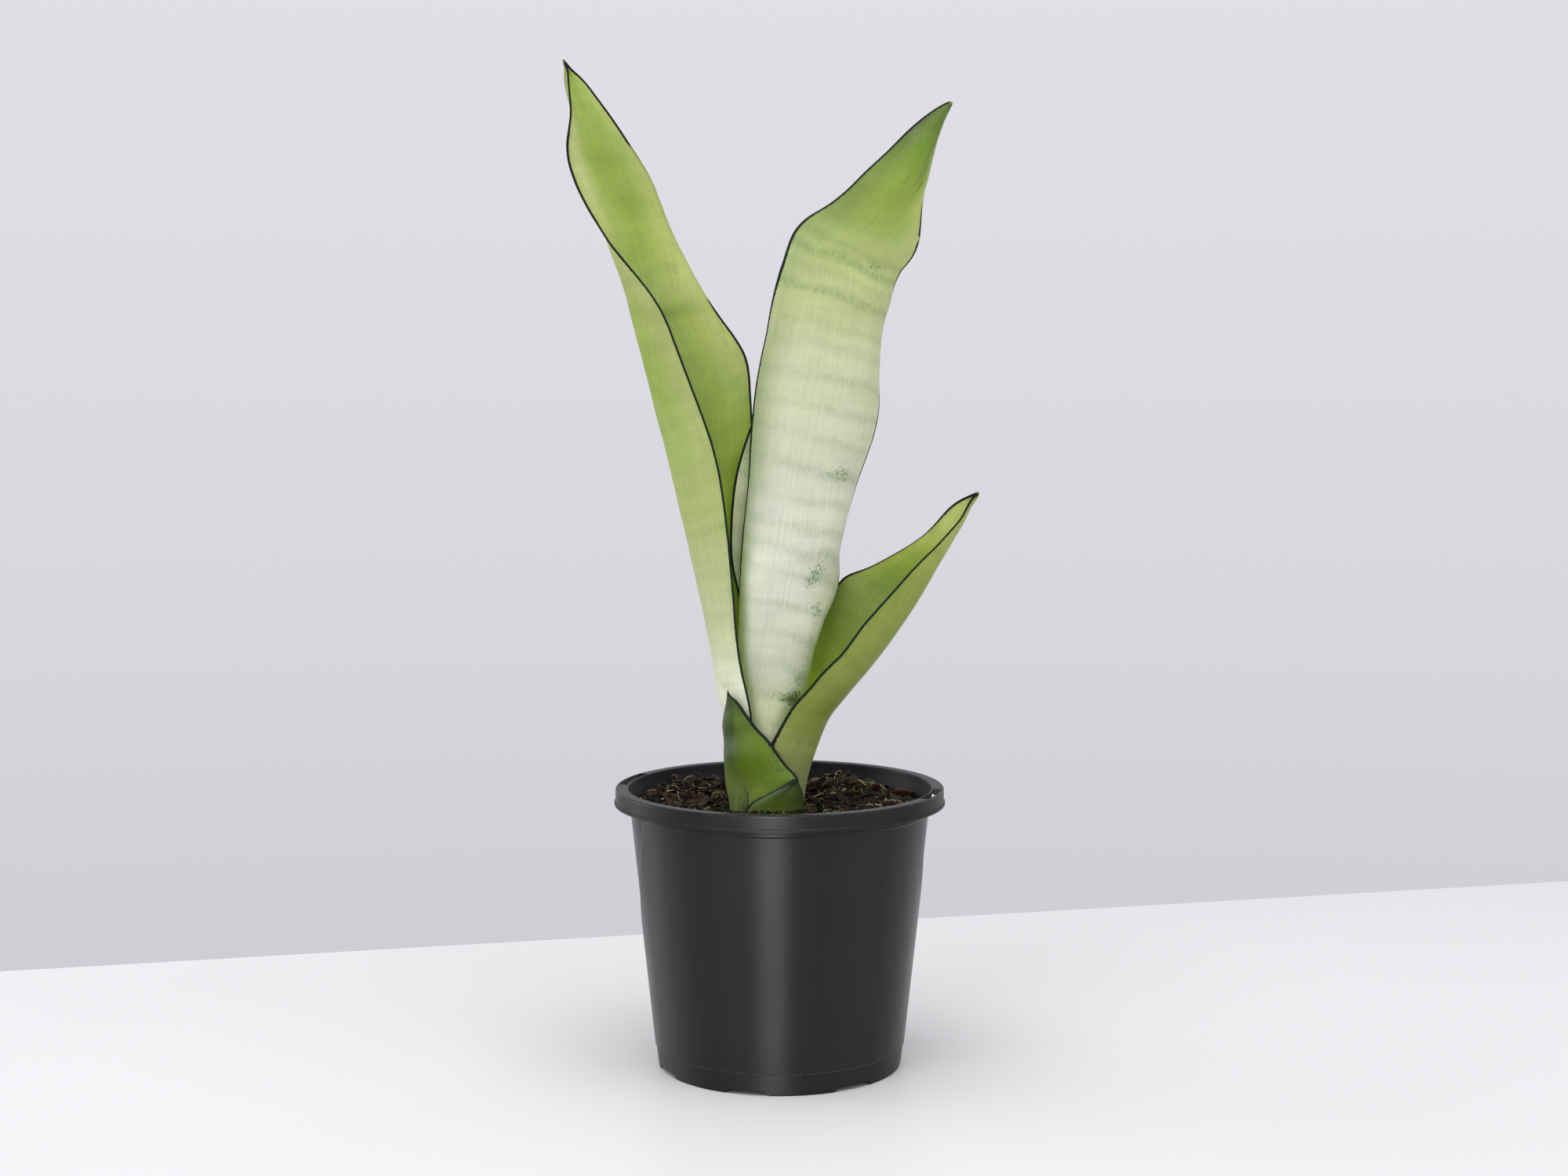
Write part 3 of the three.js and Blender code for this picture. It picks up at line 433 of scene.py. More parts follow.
# ------------------------------------------------------------------ leaves
# Sections from the buried base to the tip, millimetres: one margin, the middle of the back, the other margin, and
# the half angle of the arc that the section follows. They are the same sections as the CAD leaves.
LEAF_ROWS = {
    "leaf_tall_left": [
        [-17.5, -13, 137, -26, 0.3, 137, -14.5, 13, 137, 88],
        [-17.3, -13.4, 163, -26.2, 0.3, 162, -14.5, 13.6, 164, 88],
        [-17.2, -14.6, 192, -28.6, 0.5, 189, -14, 16, 193, 84],
        [-16.78, -17.5, 216.29, -31.35, 1, 210.26, -12.86, 18, 215.02, 80],
        [-19.94, -17, 232.81, -36.67, 3, 226.81, -13.32, 20.5, 232.66, 78],
        [-23.99, -16, 253.04, -39.45, 4, 247.33, -12.81, 22.5, 253.78, 75],
        [-26.28, -15, 276.07, -43.18, 5, 269.73, -13.25, 24.5, 278.77, 72],
        [-28.06, -14, 298.6, -47.76, 5, 292.2, -14.17, 25.5, 302.88, 70],
        [-30.7, -13.5, 326.76, -54.15, 5, 319.84, -15.55, 26, 332.75, 66],
        [-34.17, -13, 353.91, -60.44, 5, 346.92, -16.44, 25.99, 361.6, 62],
        [-40.01, -12.97, 379.6, -66.09, 4.77, 372.49, -16.59, 24.07, 389.91, 58],
        [-48.14, -13.65, 402.9, -71.39, 2.72, 396.59, -17.78, 21.09, 414.25, 54],
        [-57.43, -14.92, 427.5, -76.96, 1.02, 421.95, -21.42, 19.11, 433.23, 50],
        [-65.15, -16.26, 448.28, -82.72, -0.8, 443.45, -33.15, 14.47, 451.13, 46],
        [-73.14, -16.84, 463.94, -87.28, -2.44, 460.19, -45.7, 9.53, 469.8, 42],
        [-84.12, -17.46, 478.64, -90.83, -4.15, 475.92, -54.86, 4.63, 486.44, 38],
        [-96.9, -18.26, 493.74, -93.58, -4.89, 490.7, -62.09, -0.13, 500.62, 34],
        [-107.33, -19.14, 508.34, -91.76, -3.14, 508.35, -67.43, -4.3, 513.32, 30],
        [-115.83, -20.68, 523.3, -97.07, -5.63, 522.95, -71.8, -8.49, 525.47, 30],
        [-121.69, -22.7, 537.25, -102.78, -8.72, 537.43, -77.4, -12.34, 538.24, 30],
        [-124.26, -25.65, 553.3, -108.78, -13.25, 553.96, -87.8, -16.42, 555.01, 32],
        [-121.61, -29.71, 569.13, -114.57, -19.8, 569.69, -98.38, -21.46, 570.63, 36],
        [-121.35, -34.4, 582.08, -120.97, -26.97, 582.47, -107.66, -27.57, 583.05, 48],
        [-121.68, -37.97, 591.04, -123.38, -33.56, 591.57, -115.26, -34.09, 591.72, 50],
        [-122.41, -39.4, 596.22, -123.52, -37.52, 596.89, -120.33, -37.85, 595.96, 50],
        [-124.73, -40.28, 600.55, -124.5, -39.84, 600.88, -124.22, -39.89, 600.6, 50],
    ],
    "leaf_tall_center": [
        [-14.6, 6.6, 137, -8, -9.3, 137, -1.4, 6.6, 137, 128],
        [-15.6, 7, 163, -8, -9.8, 163, -0.4, 7, 163, 124],
        [-20, 8, 192, -7.2, -13, 191.5, 5, 8, 191, 112],
        [-23.32, 8.5, 210.59, -6.96, -14, 213.39, 9.2, 9, 209.99, 100],
        [-24.47, 9, 229.35, -2.46, -14.5, 231.51, 15.01, 9.5, 228.27, 96],
        [-24.98, 9, 251.51, -0.78, -14.5, 252.83, 19.76, 10, 249.4, 94],
        [-24.97, 9, 271.68, 3.84, -14, 273.1, 25.84, 11, 269.48, 90],
        [-24.04, 9, 293.24, 2.6, -13.5, 293.8, 35.05, 13, 289.44, 74],
        [-22.83, 9, 317.13, 12.53, -13.5, 317.31, 36.08, 14.5, 313.29, 84],
        [-20.82, 8.5, 336.22, 13.99, -13, 336.05, 39.97, 14.5, 332.9, 88],
        [-18.62, 8.13, 359.98, 12.97, -12.39, 358.96, 47.49, 13.56, 356.32, 70],
        [-17.33, 8.97, 384.58, 17.21, -11.12, 382.73, 56.02, 13.77, 380.07, 62],
        [-15.31, 9.97, 403.93, 20.5, -9.68, 401.35, 59.63, 15.64, 398.06, 72],
        [-12.1, 11.34, 425.15, 28.39, -7.46, 420.88, 59.52, 18.81, 417.48, 88],
        [-7.9, 12.81, 444.47, 30.8, -5.09, 439.51, 60.41, 20.6, 435.49, 88],
        [-4.47, 14.47, 463.79, 35.64, -3.07, 457.67, 63.12, 21.52, 453.02, 84],
        [-0.66, 14.93, 479.31, 44.15, -0.8, 471.67, 66.85, 20.65, 465.75, 70],
        [3.99, 14.44, 494.28, 38.01, 1.56, 485.71, 72.57, 18.07, 480.73, 44],
        [8.58, 14.12, 505.49, 43.65, 2.61, 495.97, 79.9, 13.99, 489.94, 38],
        [17.08, 13.6, 514.32, 50.24, 4.16, 505.8, 83.88, 14.01, 499.76, 38],
        [28.39, 13.36, 521.06, 57.29, 5.08, 514.2, 85.36, 16.54, 509.26, 44],
        [40.66, 14.47, 530.68, 64.35, 6.2, 524.01, 85.94, 20.61, 518.89, 56],
        [52.51, 16.89, 542.51, 76.38, 9.08, 535.8, 87.56, 25.56, 531.43, 68],
        [65.37, 20.38, 554.45, 83.37, 14.22, 549.22, 91.37, 29.81, 545.86, 66],
        [77.89, 25.49, 567.06, 90.19, 20.95, 562.87, 94.88, 32.1, 560.17, 60],
        [90.46, 30.39, 577.61, 97.2, 28.01, 574.77, 99.07, 33.71, 572.54, 50],
        [98.77, 34.1, 582.92, 101.08, 33.1, 581.4, 102.67, 35.24, 580.21, 44],
        [103.46, 36.02, 585.28, 104.3, 35.78, 584.97, 104.93, 36.53, 584.58, 44],
    ],
    "leaf_young_inner": [
        [-11.8, -1.2, 137, -8, 4.6, 137, -4.2, -1.2, 137, 118],
        [-12.2, -1.4, 163, -8, 5.2, 163, -3.8, -1.4, 163, 116],
        [-13.8, 1.5, 192, -7, 9.5, 192, -0.6, 1.5, 192, 108],
        [-17.5, 7, 228, -5, 16.5, 228, 7, 7, 228, 92],
        [-21.34, 12.5, 253.98, -4.12, 19.5, 252.18, 13.14, 13, 253.87, 80],
        [-24.39, 13.5, 281.79, -3.12, 21, 280.07, 18.92, 15, 281.59, 74],
        [-29.54, 14, 305.76, -3.08, 21.5, 303.67, 24.2, 16, 305.52, 68],
        [-30.13, 14, 327.78, -1.13, 21.8, 325.3, 28.05, 17, 327.02, 62],
        [-29.03, 14, 344.97, 1.29, 21.5, 342.12, 30.44, 17.5, 343.74, 58],
        [-26.21, 14.18, 362.11, 3.71, 21.42, 359.37, 32.35, 18.14, 360.43, 54],
        [-21.66, 14.88, 377.78, 6.6, 21.56, 374.66, 33.31, 18.58, 375.2, 50],
        [-16.73, 15.77, 391.05, 9, 21.62, 388.02, 32.84, 19.1, 387.57, 46],
        [-10.05, 16.82, 404.79, 10.93, 23.34, 401.81, 30.48, 20.76, 400.4, 42],
        [-2.42, 18.35, 418.04, 12.85, 22.69, 415.63, 26.19, 21.07, 413.72, 38],
        [5.22, 20.48, 429.88, 13.81, 22.38, 428.46, 20.95, 21.47, 427.02, 36],
        [11.42, 21.49, 437.94, 14.77, 22.26, 437.47, 17.14, 21.82, 436.99, 34],
        [15.05, 22.17, 442.68, 15.58, 22.37, 442.69, 16.01, 22.25, 442.49, 34],
    ],
    "leaf_small_right": [
        [-3.5, 14.2, 137, 13, 0.5, 137, -8.2, -14, 137, 86],
        [-2.8, 15.2, 164, 13.8, 0.5, 163, -7.6, -14.6, 163, 86],
        [-2.3, 19, 188.07, 19.22, 1, 187.07, -6.48, -17.5, 195.37, 84],
        [2.56, 22.5, 204.6, 23.07, 2, 197.52, -1.52, -18.5, 206.21, 82],
        [7.42, 25, 220.34, 28.86, 3, 211.32, 7.38, -18.8, 221.65, 80],
        [12.77, 26.49, 235.75, 34.53, 4, 219.84, 15.56, -18.6, 231.08, 77],
        [18.1, 27.08, 252.23, 41.82, 5, 229.31, 26.23, -17.81, 243.26, 74],
        [23.9, 26.53, 268.33, 49.83, 5.36, 239.83, 37.06, -16.06, 253.91, 70],
        [30.61, 24.23, 283.1, 60.53, 4.95, 253.78, 47.87, -14.98, 268.41, 66],
        [38.69, 20.44, 295.75, 69.95, 3.59, 267.81, 59.13, -14.57, 281.57, 62],
        [50.53, 16.06, 301.49, 79.76, 1.33, 282.35, 71.06, -14.44, 294.97, 58],
        [63.69, 10.97, 308.26, 88.7, -1.3, 297.33, 82.73, -14.47, 307.89, 54],
        [77.67, 5.5, 316.96, 97.02, -4.11, 311.77, 93.93, -14.34, 318.9, 50],
        [90.09, -0.29, 326.88, 103.45, -6.03, 322.76, 102.57, -14.08, 328.49, 46],
        [99.57, -5.97, 338.32, 109.03, -8.4, 332.81, 108.61, -14.01, 335.97, 42],
        [107.7, -9.9, 345.49, 113.48, -11.08, 341.42, 113, -14.13, 344.17, 38],
        [114.05, -12.36, 348.7, 117.14, -12.54, 346.65, 116.35, -14.04, 348.6, 36],
        [118.05, -13.71, 350.36, 118.72, -13.57, 349.7, 118.74, -13.85, 350.08, 36],
    ],
    "leaf_sheath_left": [
        [-21, 18, 137, -25.26, -17, 137, 8.5, -13.5, 137, 80],
        [-21.5, 18.6, 163, -24.92, -17.2, 162, 10, -13.6, 164, 80],
        [-24.07, 18.5, 171.09, -25.69, -18, 172.62, 11.2, -13.5, 176.08, 80],
        [-25.98, 18.5, 180.87, -27.61, -19, 182.8, 4.11, -17.5, 186.31, 78],
        [-28.33, 17, 190.87, -29.43, -19, 193.74, -4.67, -22.3, 199.69, 74],
        [-32.87, 6, 201.8, -28.53, -17, 203.41, -10.89, -23, 206.91, 64],
        [-34.02, -5, 211.63, -29.47, -18.4, 212.64, -16.58, -23.2, 213.81, 48],
        [-32.52, -11.5, 219.49, -28.74, -18.8, 220.28, -22.09, -23, 221.58, 44],
        [-31.27, -16, 225.35, -29.4, -19.8, 225.87, -26.17, -22.3, 226.45, 44],
        [-30.97, -18.2, 228.97, -30.43, -19.6, 229.16, -29.57, -20.4, 229.22, 44],
        [-31.18, -19.2, 231.52, -30.98, -19.5, 231.6, -30.8, -19.6, 231.47, 44],
    ],
    "leaf_scale_front": [
        [-25.5, -20.6, 137, -5.5, -25, 137, 14, -9.5, 137, 62],
        [-25.6, -21.2, 152, -5.5, -25.4, 152, 14.2, -9.5, 152, 62],
        [-22.5, -23, 157.6, -2.2, -24.9, 158.5, 14.3, -9.6, 160, 58],
        [-17.58, -24.6, 163.98, 0.07, -25.6, 166.8, 13.56, -12.8, 168.29, 52],
        [-5.69, -25.2, 170.62, 4.3, -24, 172.2, 12.36, -15.2, 172.55, 46],
        [1.3, -24, 174.25, 6.66, -22.4, 174.77, 11.02, -17.4, 175.08, 42],
        [6.2, -22, 177.08, 8.17, -21.4, 177.06, 9.79, -19.2, 176.97, 40],
        [8.74, -20.6, 178.45, 9.07, -20.5, 178.43, 9.41, -20, 178.25, 40],
    ],
}

THICK = {
    "leaf_tall_left": (2.4, 1.5, 0.9), "leaf_tall_center": (2.6, 1.5, 0.9), "leaf_young_inner": (2.0, 1.2, 0.8),
    "leaf_small_right": (2.3, 1.4, 0.9), "leaf_sheath_left": (2.2, 1.4, 0.9), "leaf_scale_front": (1.9, 1.2, 0.8),
}


def leaf_surface(rows, nu, nv):
    secs = []
    for r in rows:
        L, M, R, t = np.array(r[0:3]), np.array(r[3:6]), np.array(r[6:9]), rad(r[9])
        v = np.linspace(-1, 1, 241)
        g, f = np.sin(t * v) / math.sin(t), (1 - np.cos(t * v)) / (1 - math.cos(t))
        q = M + g[:, None] * (R - L) / 2 + f[:, None] * ((L + R) / 2 - M)
        s = np.r_[0, np.cumsum(np.linalg.norm(np.diff(q, axis=0), axis=1))]
        w = np.linspace(0, s[-1], nv + 1)
        secs.append(np.stack([np.interp(w, s, q[:, k]) for k in range(3)], 1))
    G = np.array(secs)
    d = sum(np.linalg.norm(np.diff(G[:, j], axis=0), axis=1) for j in (0, nv // 2, nv)) / 3
    t = np.r_[0, np.cumsum(d)]
    return natural_spline(t, G.reshape(len(G), -1), np.linspace(0, t[-1], nu + 1)).reshape(nu + 1, nv + 1, 3)


def unit(a):
    return a / np.maximum(np.linalg.norm(a, axis=-1, keepdims=True), 1e-9)


def build_leaf(name, nu, nv, paint, seed, ripple=0.22, tip_dry=1.0):
    """A solid blade with rounded margins. paint(u, v, inner, x, y, z) gives colour (n,3) and masks (n,4):
    cross-band darkness, speckle density, lengthwise streak density, margin strength."""
    S = leaf_surface(LEAF_ROWS[name], nu, nv)
    t_base, t_tip, t_edge = THICK[name]
    u = np.linspace(0, 1, nu + 1)
    v = np.linspace(-1, 1, nv + 1)
    seg = np.linalg.norm(np.diff(S, axis=1), axis=2)
    half_w = seg.sum(1) / 2
    along = np.r_[0, np.cumsum(np.linalg.norm(np.diff(S[:, nv // 2], axis=0), axis=1))]
    du = unit(np.gradient(S, axis=0))
    dv = unit(np.gradient(S, axis=1))
    N = unit(np.cross(du, dv))
    mid = nv // 2
    chord = (S[:, 0] + S[:, -1]) / 2
    outer_sign = np.sign(np.einsum("ij,ij->i", N[:, mid], S[:, mid] - chord)[nu // 6: nu // 2].mean())
    N = N * outer_sign                                        # N now points to the outer (abaxial) face
    # living unevenness: slow ripples across the blade and a slight wave of the margins
    UU, VV = np.meshgrid(along, v, indexing="ij")
    wave = fbm(np.stack([UU.ravel() / 34, VV.ravel() * 1.3, np.full(UU.size, seed * 3.1)], 1), seed, 3).reshape(UU.shape)
    fade = smooth(0, 0.10, u)[:, None] * smooth(1.0, 0.9, u)[:, None]
    S = S + N * (wave * ripple * 2.0 * fade)[..., None]
    rim = fbm(np.stack([UU.ravel() / 9, np.sign(VV.ravel()) * 5, np.full(UU.size, seed * 7.7)], 1), seed + 5, 3).reshape(UU.shape)
    S = S + dv * (rim * 0.22 * np.abs(VV) ** 10 * np.sign(VV) * fade)[..., None]
    thick = t_base + (t_tip - t_base) * u[:, None]
    T = t_edge + (thick - t_edge) * (1 - np.abs(v)[None, :] ** 2.5)
    T = np.minimum(T, np.maximum(half_w[:, None] * 0.7, 0.25))
    bead = 0.16 * np.exp(-((1 - np.abs(v))[None, :] * half_w[:, None] / 0.9) ** 2)
    H = T / 2 + bead
    # margin roundness: pull the last rows in by their half thickness and close the section with an arc
    h_end = H[:, [0, -1]]
    pull = np.minimum(h_end * 0.9, half_w[:, None] * 0.25)
    C = S.copy()
    C[:, 0] += dv[:, 0] * pull[:, [0]]
    C[:, -1] -= dv[:, -1] * pull[:, [1]]
    outer = C + N * H[..., None]
    inner = C - N * H[..., None]
    arc = np.radians([60, 30, 0, -30, -60])
    ring, attr_v, attr_side = [], [], []
    for j in range(nv + 1):
        ring.append(outer[:, j]); attr_v.append(v[j]); attr_side.append(0.0)
    for a in arc:
        ring.append(C[:, -1] + dv[:, -1] * (pull[:, [1]] * math.cos(a)) + N[:, -1] * (h_end[:, [1]] * math.sin(a)))
        attr_v.append(1.0); attr_side.append(0.5 - 0.5 * math.sin(a))
    for j in range(nv, -1, -1):
        ring.append(inner[:, j]); attr_v.append(v[j]); attr_side.append(1.0)
    for a in arc[::-1]:
        ring.append(C[:, 0] - dv[:, 0] * (pull[:, [0]] * math.cos(a)) + N[:, 0] * (h_end[:, [0]] * math.sin(a)))
        attr_v.append(-1.0); attr_side.append(0.5 - 0.5 * math.sin(a))
    P = np.stack(ring, 1)                                     # (nu+1, K, 3)
    K = P.shape[1]
    AV = np.broadcast_to(np.array(attr_v), (nu + 1, K))
    AS = np.broadcast_to(np.array(attr_side), (nu + 1, K))
    AU = np.broadcast_to(u[:, None], (nu + 1, K))
    LM = AV * half_w[:, None]
    LU = np.broadcast_to(along[:, None], (nu + 1, K))
    EDGE = half_w[:, None] - np.abs(LM)
    verts = P.reshape(-1, 3)
    i, k = np.meshgrid(np.arange(nu), np.arange(K), indexing="ij")
    a = i * K + k
    b = i * K + (k + 1) % K
    quads = np.stack([a, b, b + K, a + K], -1).reshape(-1, 4)
    n0 = len(verts)
    verts = np.concatenate([verts, [P[0].mean(0)], [P[-1].mean(0) + du[-1, mid] * 0.3]])
    kk = np.arange(K)
    cap0 = np.stack([(kk + 1) % K, kk, np.full(K, n0)], 1)
    capn = np.stack([nu * K + kk, nu * K + (kk + 1) % K, np.full(K, n0 + 1)], 1)

    def full(x):
        x = x.reshape(-1)
        return np.r_[x, x[0], x[-1]]
    uu, vv, ss = full(AU), full(AV), full(AS)
    tone, mask = paint(uu, vv, ss, verts[:, 0], verts[:, 1], verts[:, 2])
    tone = np.clip(tone * np.array([0.99, 0.99, 0.86]), 0, 0.93)
    o = mesh_object(name + "_blade", verts, [quads, np.concatenate([cap0, capn])],
                    floats=dict(lu=full(LU), lv=full(LM), edge=full(EDGE), side=ss, un=uu),
                    colors=dict(tone=tone, mask=mask))
    outward(o)
    return o, dict(S=S, N=N, dv=dv, du=du, half_w=half_w, along=along)


def leaf_material(name, seed, margin=(9, 18, 7), margin_mm=1.12, streak=(40, 66, 28), band=(88, 112, 60),
                  green=(112, 142, 60), rough=0.40, mottle=0.16, band_gain=0.8, speckle_gain=1.0, fibre=0.10, cross_gain=0.30):
    t = Tree(name)
    lu, lv, edge, side = t.attr("lu"), t.attr("lv"), t.attr("edge"), t.attr("side")
    tone = t.attr("tone", "Color")
    sep = t.new("ShaderNodeSeparateColor")
    t.put(sep.inputs[0], t.attr("mask", "Color"))
    m_band, m_speck, m_streak = sep.outputs[0], sep.outputs[1], sep.outputs[2]
    m_margin = t.attr("mask", "Alpha")
    z = t.m("MULTIPLY_ADD", side, 40.0, seed * 13.0)
    base = t.vec(lv, lu, z)
    # fibres run the length of the blade
    fine = t.noise(t.vscale(base, (2.3, 0.045, 1.0)), 1.0, 4.0, 0.65)
    wide = t.noise(t.vscale(base, (0.55, 0.018, 1.0)), 1.0, 3.0, 0.55)
    cloud = t.noise(t.vscale(base, (0.075, 0.045, 1.0)), 1.0, 4.0, 0.55, 0.4)
    grit = t.noise(t.vscale(base, (1.7, 0.8, 1.0)), 1.0, 2.0, 0.6)
    col = t.mix(t.mul(t.step(0.50, 0.80, cloud), mottle * 1.6), tone, tuple(lin(green)))
    col = t.mix(t.mul(t.step(0.46, 0.18, cloud), mottle * 0.9), col, t.scale_color(col, 1.22))
    mid = t.noise(t.vscale(base, (1.05, 0.030, 1.0)), 1.0, 3.0, 0.6)
    cross = t.noise(t.vscale(base, (0.050, 0.17, 1.0)), 1.0, 4.0, 0.6, 0.3)
    k = t.m("MULTIPLY_ADD", t.sub(fine, 0.5), fibre * 2.2, 1.0)
    k = t.m("MULTIPLY_ADD", t.sub(mid, 0.5), fibre * 3.2, k)
    k = t.m("MULTIPLY_ADD", t.sub(wide, 0.5), fibre * 2.2, k)
    k = t.m("MULTIPLY_ADD", t.sub(cross, 0.5), cross_gain, k)
    k = t.m("MULTIPLY_ADD", t.sub(grit, 0.5), fibre * 0.9, k)
    col = t.scale_color(col, k)
    # cross bands: broken into short lengthwise dashes
    dash = t.noise(t.vscale(base, (0.95, 0.16, 1.0)), 1.0, 3.0, 0.6)
    dash2 = t.noise(t.vscale(base, (2.6, 0.35, 1.0)), 1.0, 2.0, 0.6)
    dashes = t.add(t.mul(t.step(0.44, 0.60, dash), 0.62), t.mul(t.step(0.46, 0.62, dash2), 0.38))
    f_band = t.mul(t.mul(m_band, t.m("MULTIPLY_ADD", dashes, 0.75, 0.25)), band_gain, clamp=True)
    col = t.mix(f_band, col, tuple(lin(band)))
    # dark specks, longer than wide
    sp = t.noise(t.vscale(base, (1.25, 0.42, 1.0)), 1.0, 4.0, 0.7)
    thr = t.m("MULTIPLY_ADD", m_speck, -0.22, 0.71)
    f_sp = t.step(thr, t.add(thr, 0.035), sp)
    f_sp = t.mul(f_sp, t.step(0.03, 0.30, m_speck))
    col = t.mix(t.mul(f_sp, 0.86 * speckle_gain), col, tuple(lin((66, 92, 28))))
    # long dark streaks
    st = t.noise(t.vscale(base, (1.5, 0.028, 1.0)), 1.0, 3.0, 0.6)
    thr2 = t.m("MULTIPLY_ADD", m_streak, -0.17, 0.70)
    f_st = t.mul(t.step(thr2, t.add(thr2, 0.05), st), t.step(0.03, 0.25, m_streak))
    col = t.mix(t.mul(f_st, 0.72), col, tuple(lin(streak)))
    # dark horny margin, its inner border slightly ragged
    rag = t.noise(t.vec(0.0, t.mul(lu, 0.55), z), 1.0, 3.0, 0.65)
    width = t.mul(t.mul(t.m("MULTIPLY_ADD", rag, 1.1, 0.45), margin_mm), m_margin)
    f_m = t.step(t.add(width, 0.22), width, edge)
    f_m = t.mul(f_m, t.step(0.05, 0.35, m_margin))
    f_halo = t.mul(t.step(t.add(width, 2.6), width, edge), 0.28)
    col = t.mix(f_halo, col, t.scale_color(col, 0.80))
    dark = t.mix(t.step(0.3, 0.75, fine), tuple(lin(margin)), tuple(lin([min(255, c * 1.45) for c in margin])))
    col = t.mix(f_m, col, dark)
    # dry point
    un = t.attr("un")
    col = t.mix(t.step(0.995, 0.999, un), col, tuple(lin((128, 120, 74))))
    r = t.m("MULTIPLY_ADD", t.sub(fine, 0.5), 0.22, rough)
    r = t.m("MULTIPLY_ADD", f_m, 0.34, r)
    h = t.m("MULTIPLY_ADD", fine, 0.8, t.mul(grit, 0.35))
    h = t.m("MULTIPLY_ADD", wide, 0.9, h)
    n = t.bump(h, 0.00014, 0.55)
    n = t.bump(t.noise(t.vscale(base, (0.10, 0.06, 1.0)), 1.0, 2.0, 0.5), 0.0011, 0.5, normal=n)
    t.set(color=col, roughness=r, specular=0.34, normal=n, sss=0.06)
    t.bsdf.inputs["Subsurface Radius"].default_value = (0.6, 1.0, 0.25)
    t.bsdf.inputs["Subsurface Scale"].default_value = 0.0025
    return t.mat


def bumps(u, v, items):
    """sum of soft spots (u, v, half length in u, half width in v, strength)"""
    s = np.zeros_like(u)
    for (cu, cv, su, sv, k) in items:
        s += k * np.exp(-((u - cu) / su) ** 2 - ((v - cv) / sv) ** 2)
    return s


def bands(u, v, items, seed, warp=0.006, slope=0.0, width=0.0055):
    """cross bands (u, strength) or (u, strength, v centre, v half width), warped by noise"""
    w = fbm(np.stack([u * 16, v * 1.6, np.full_like(u, seed)], 1), seed, 3) * warp
    s = np.zeros_like(u)
    for it in items:
        cu, k = it[0], it[1]
        q = np.exp(-((u + w - cu - slope * v) / width) ** 2)
        if len(it) > 2:
            q = q * np.exp(-((v - it[2]) / it[3]) ** 2)
        s = np.maximum(s, k * q)
    return s


def edge_profile(u, v, left, right):
    """margin strength from two lists of (u, strength)"""
    l = np.interp(u, [a for a, _ in left], [b for _, b in left])
    r = np.interp(u, [a for a, _ in right], [b for _, b in right])
    return np.where(v < 0, l, r)


def mixc(a, b, k):
    return a + (b - a) * np.clip(k, 0, 1)[:, None]


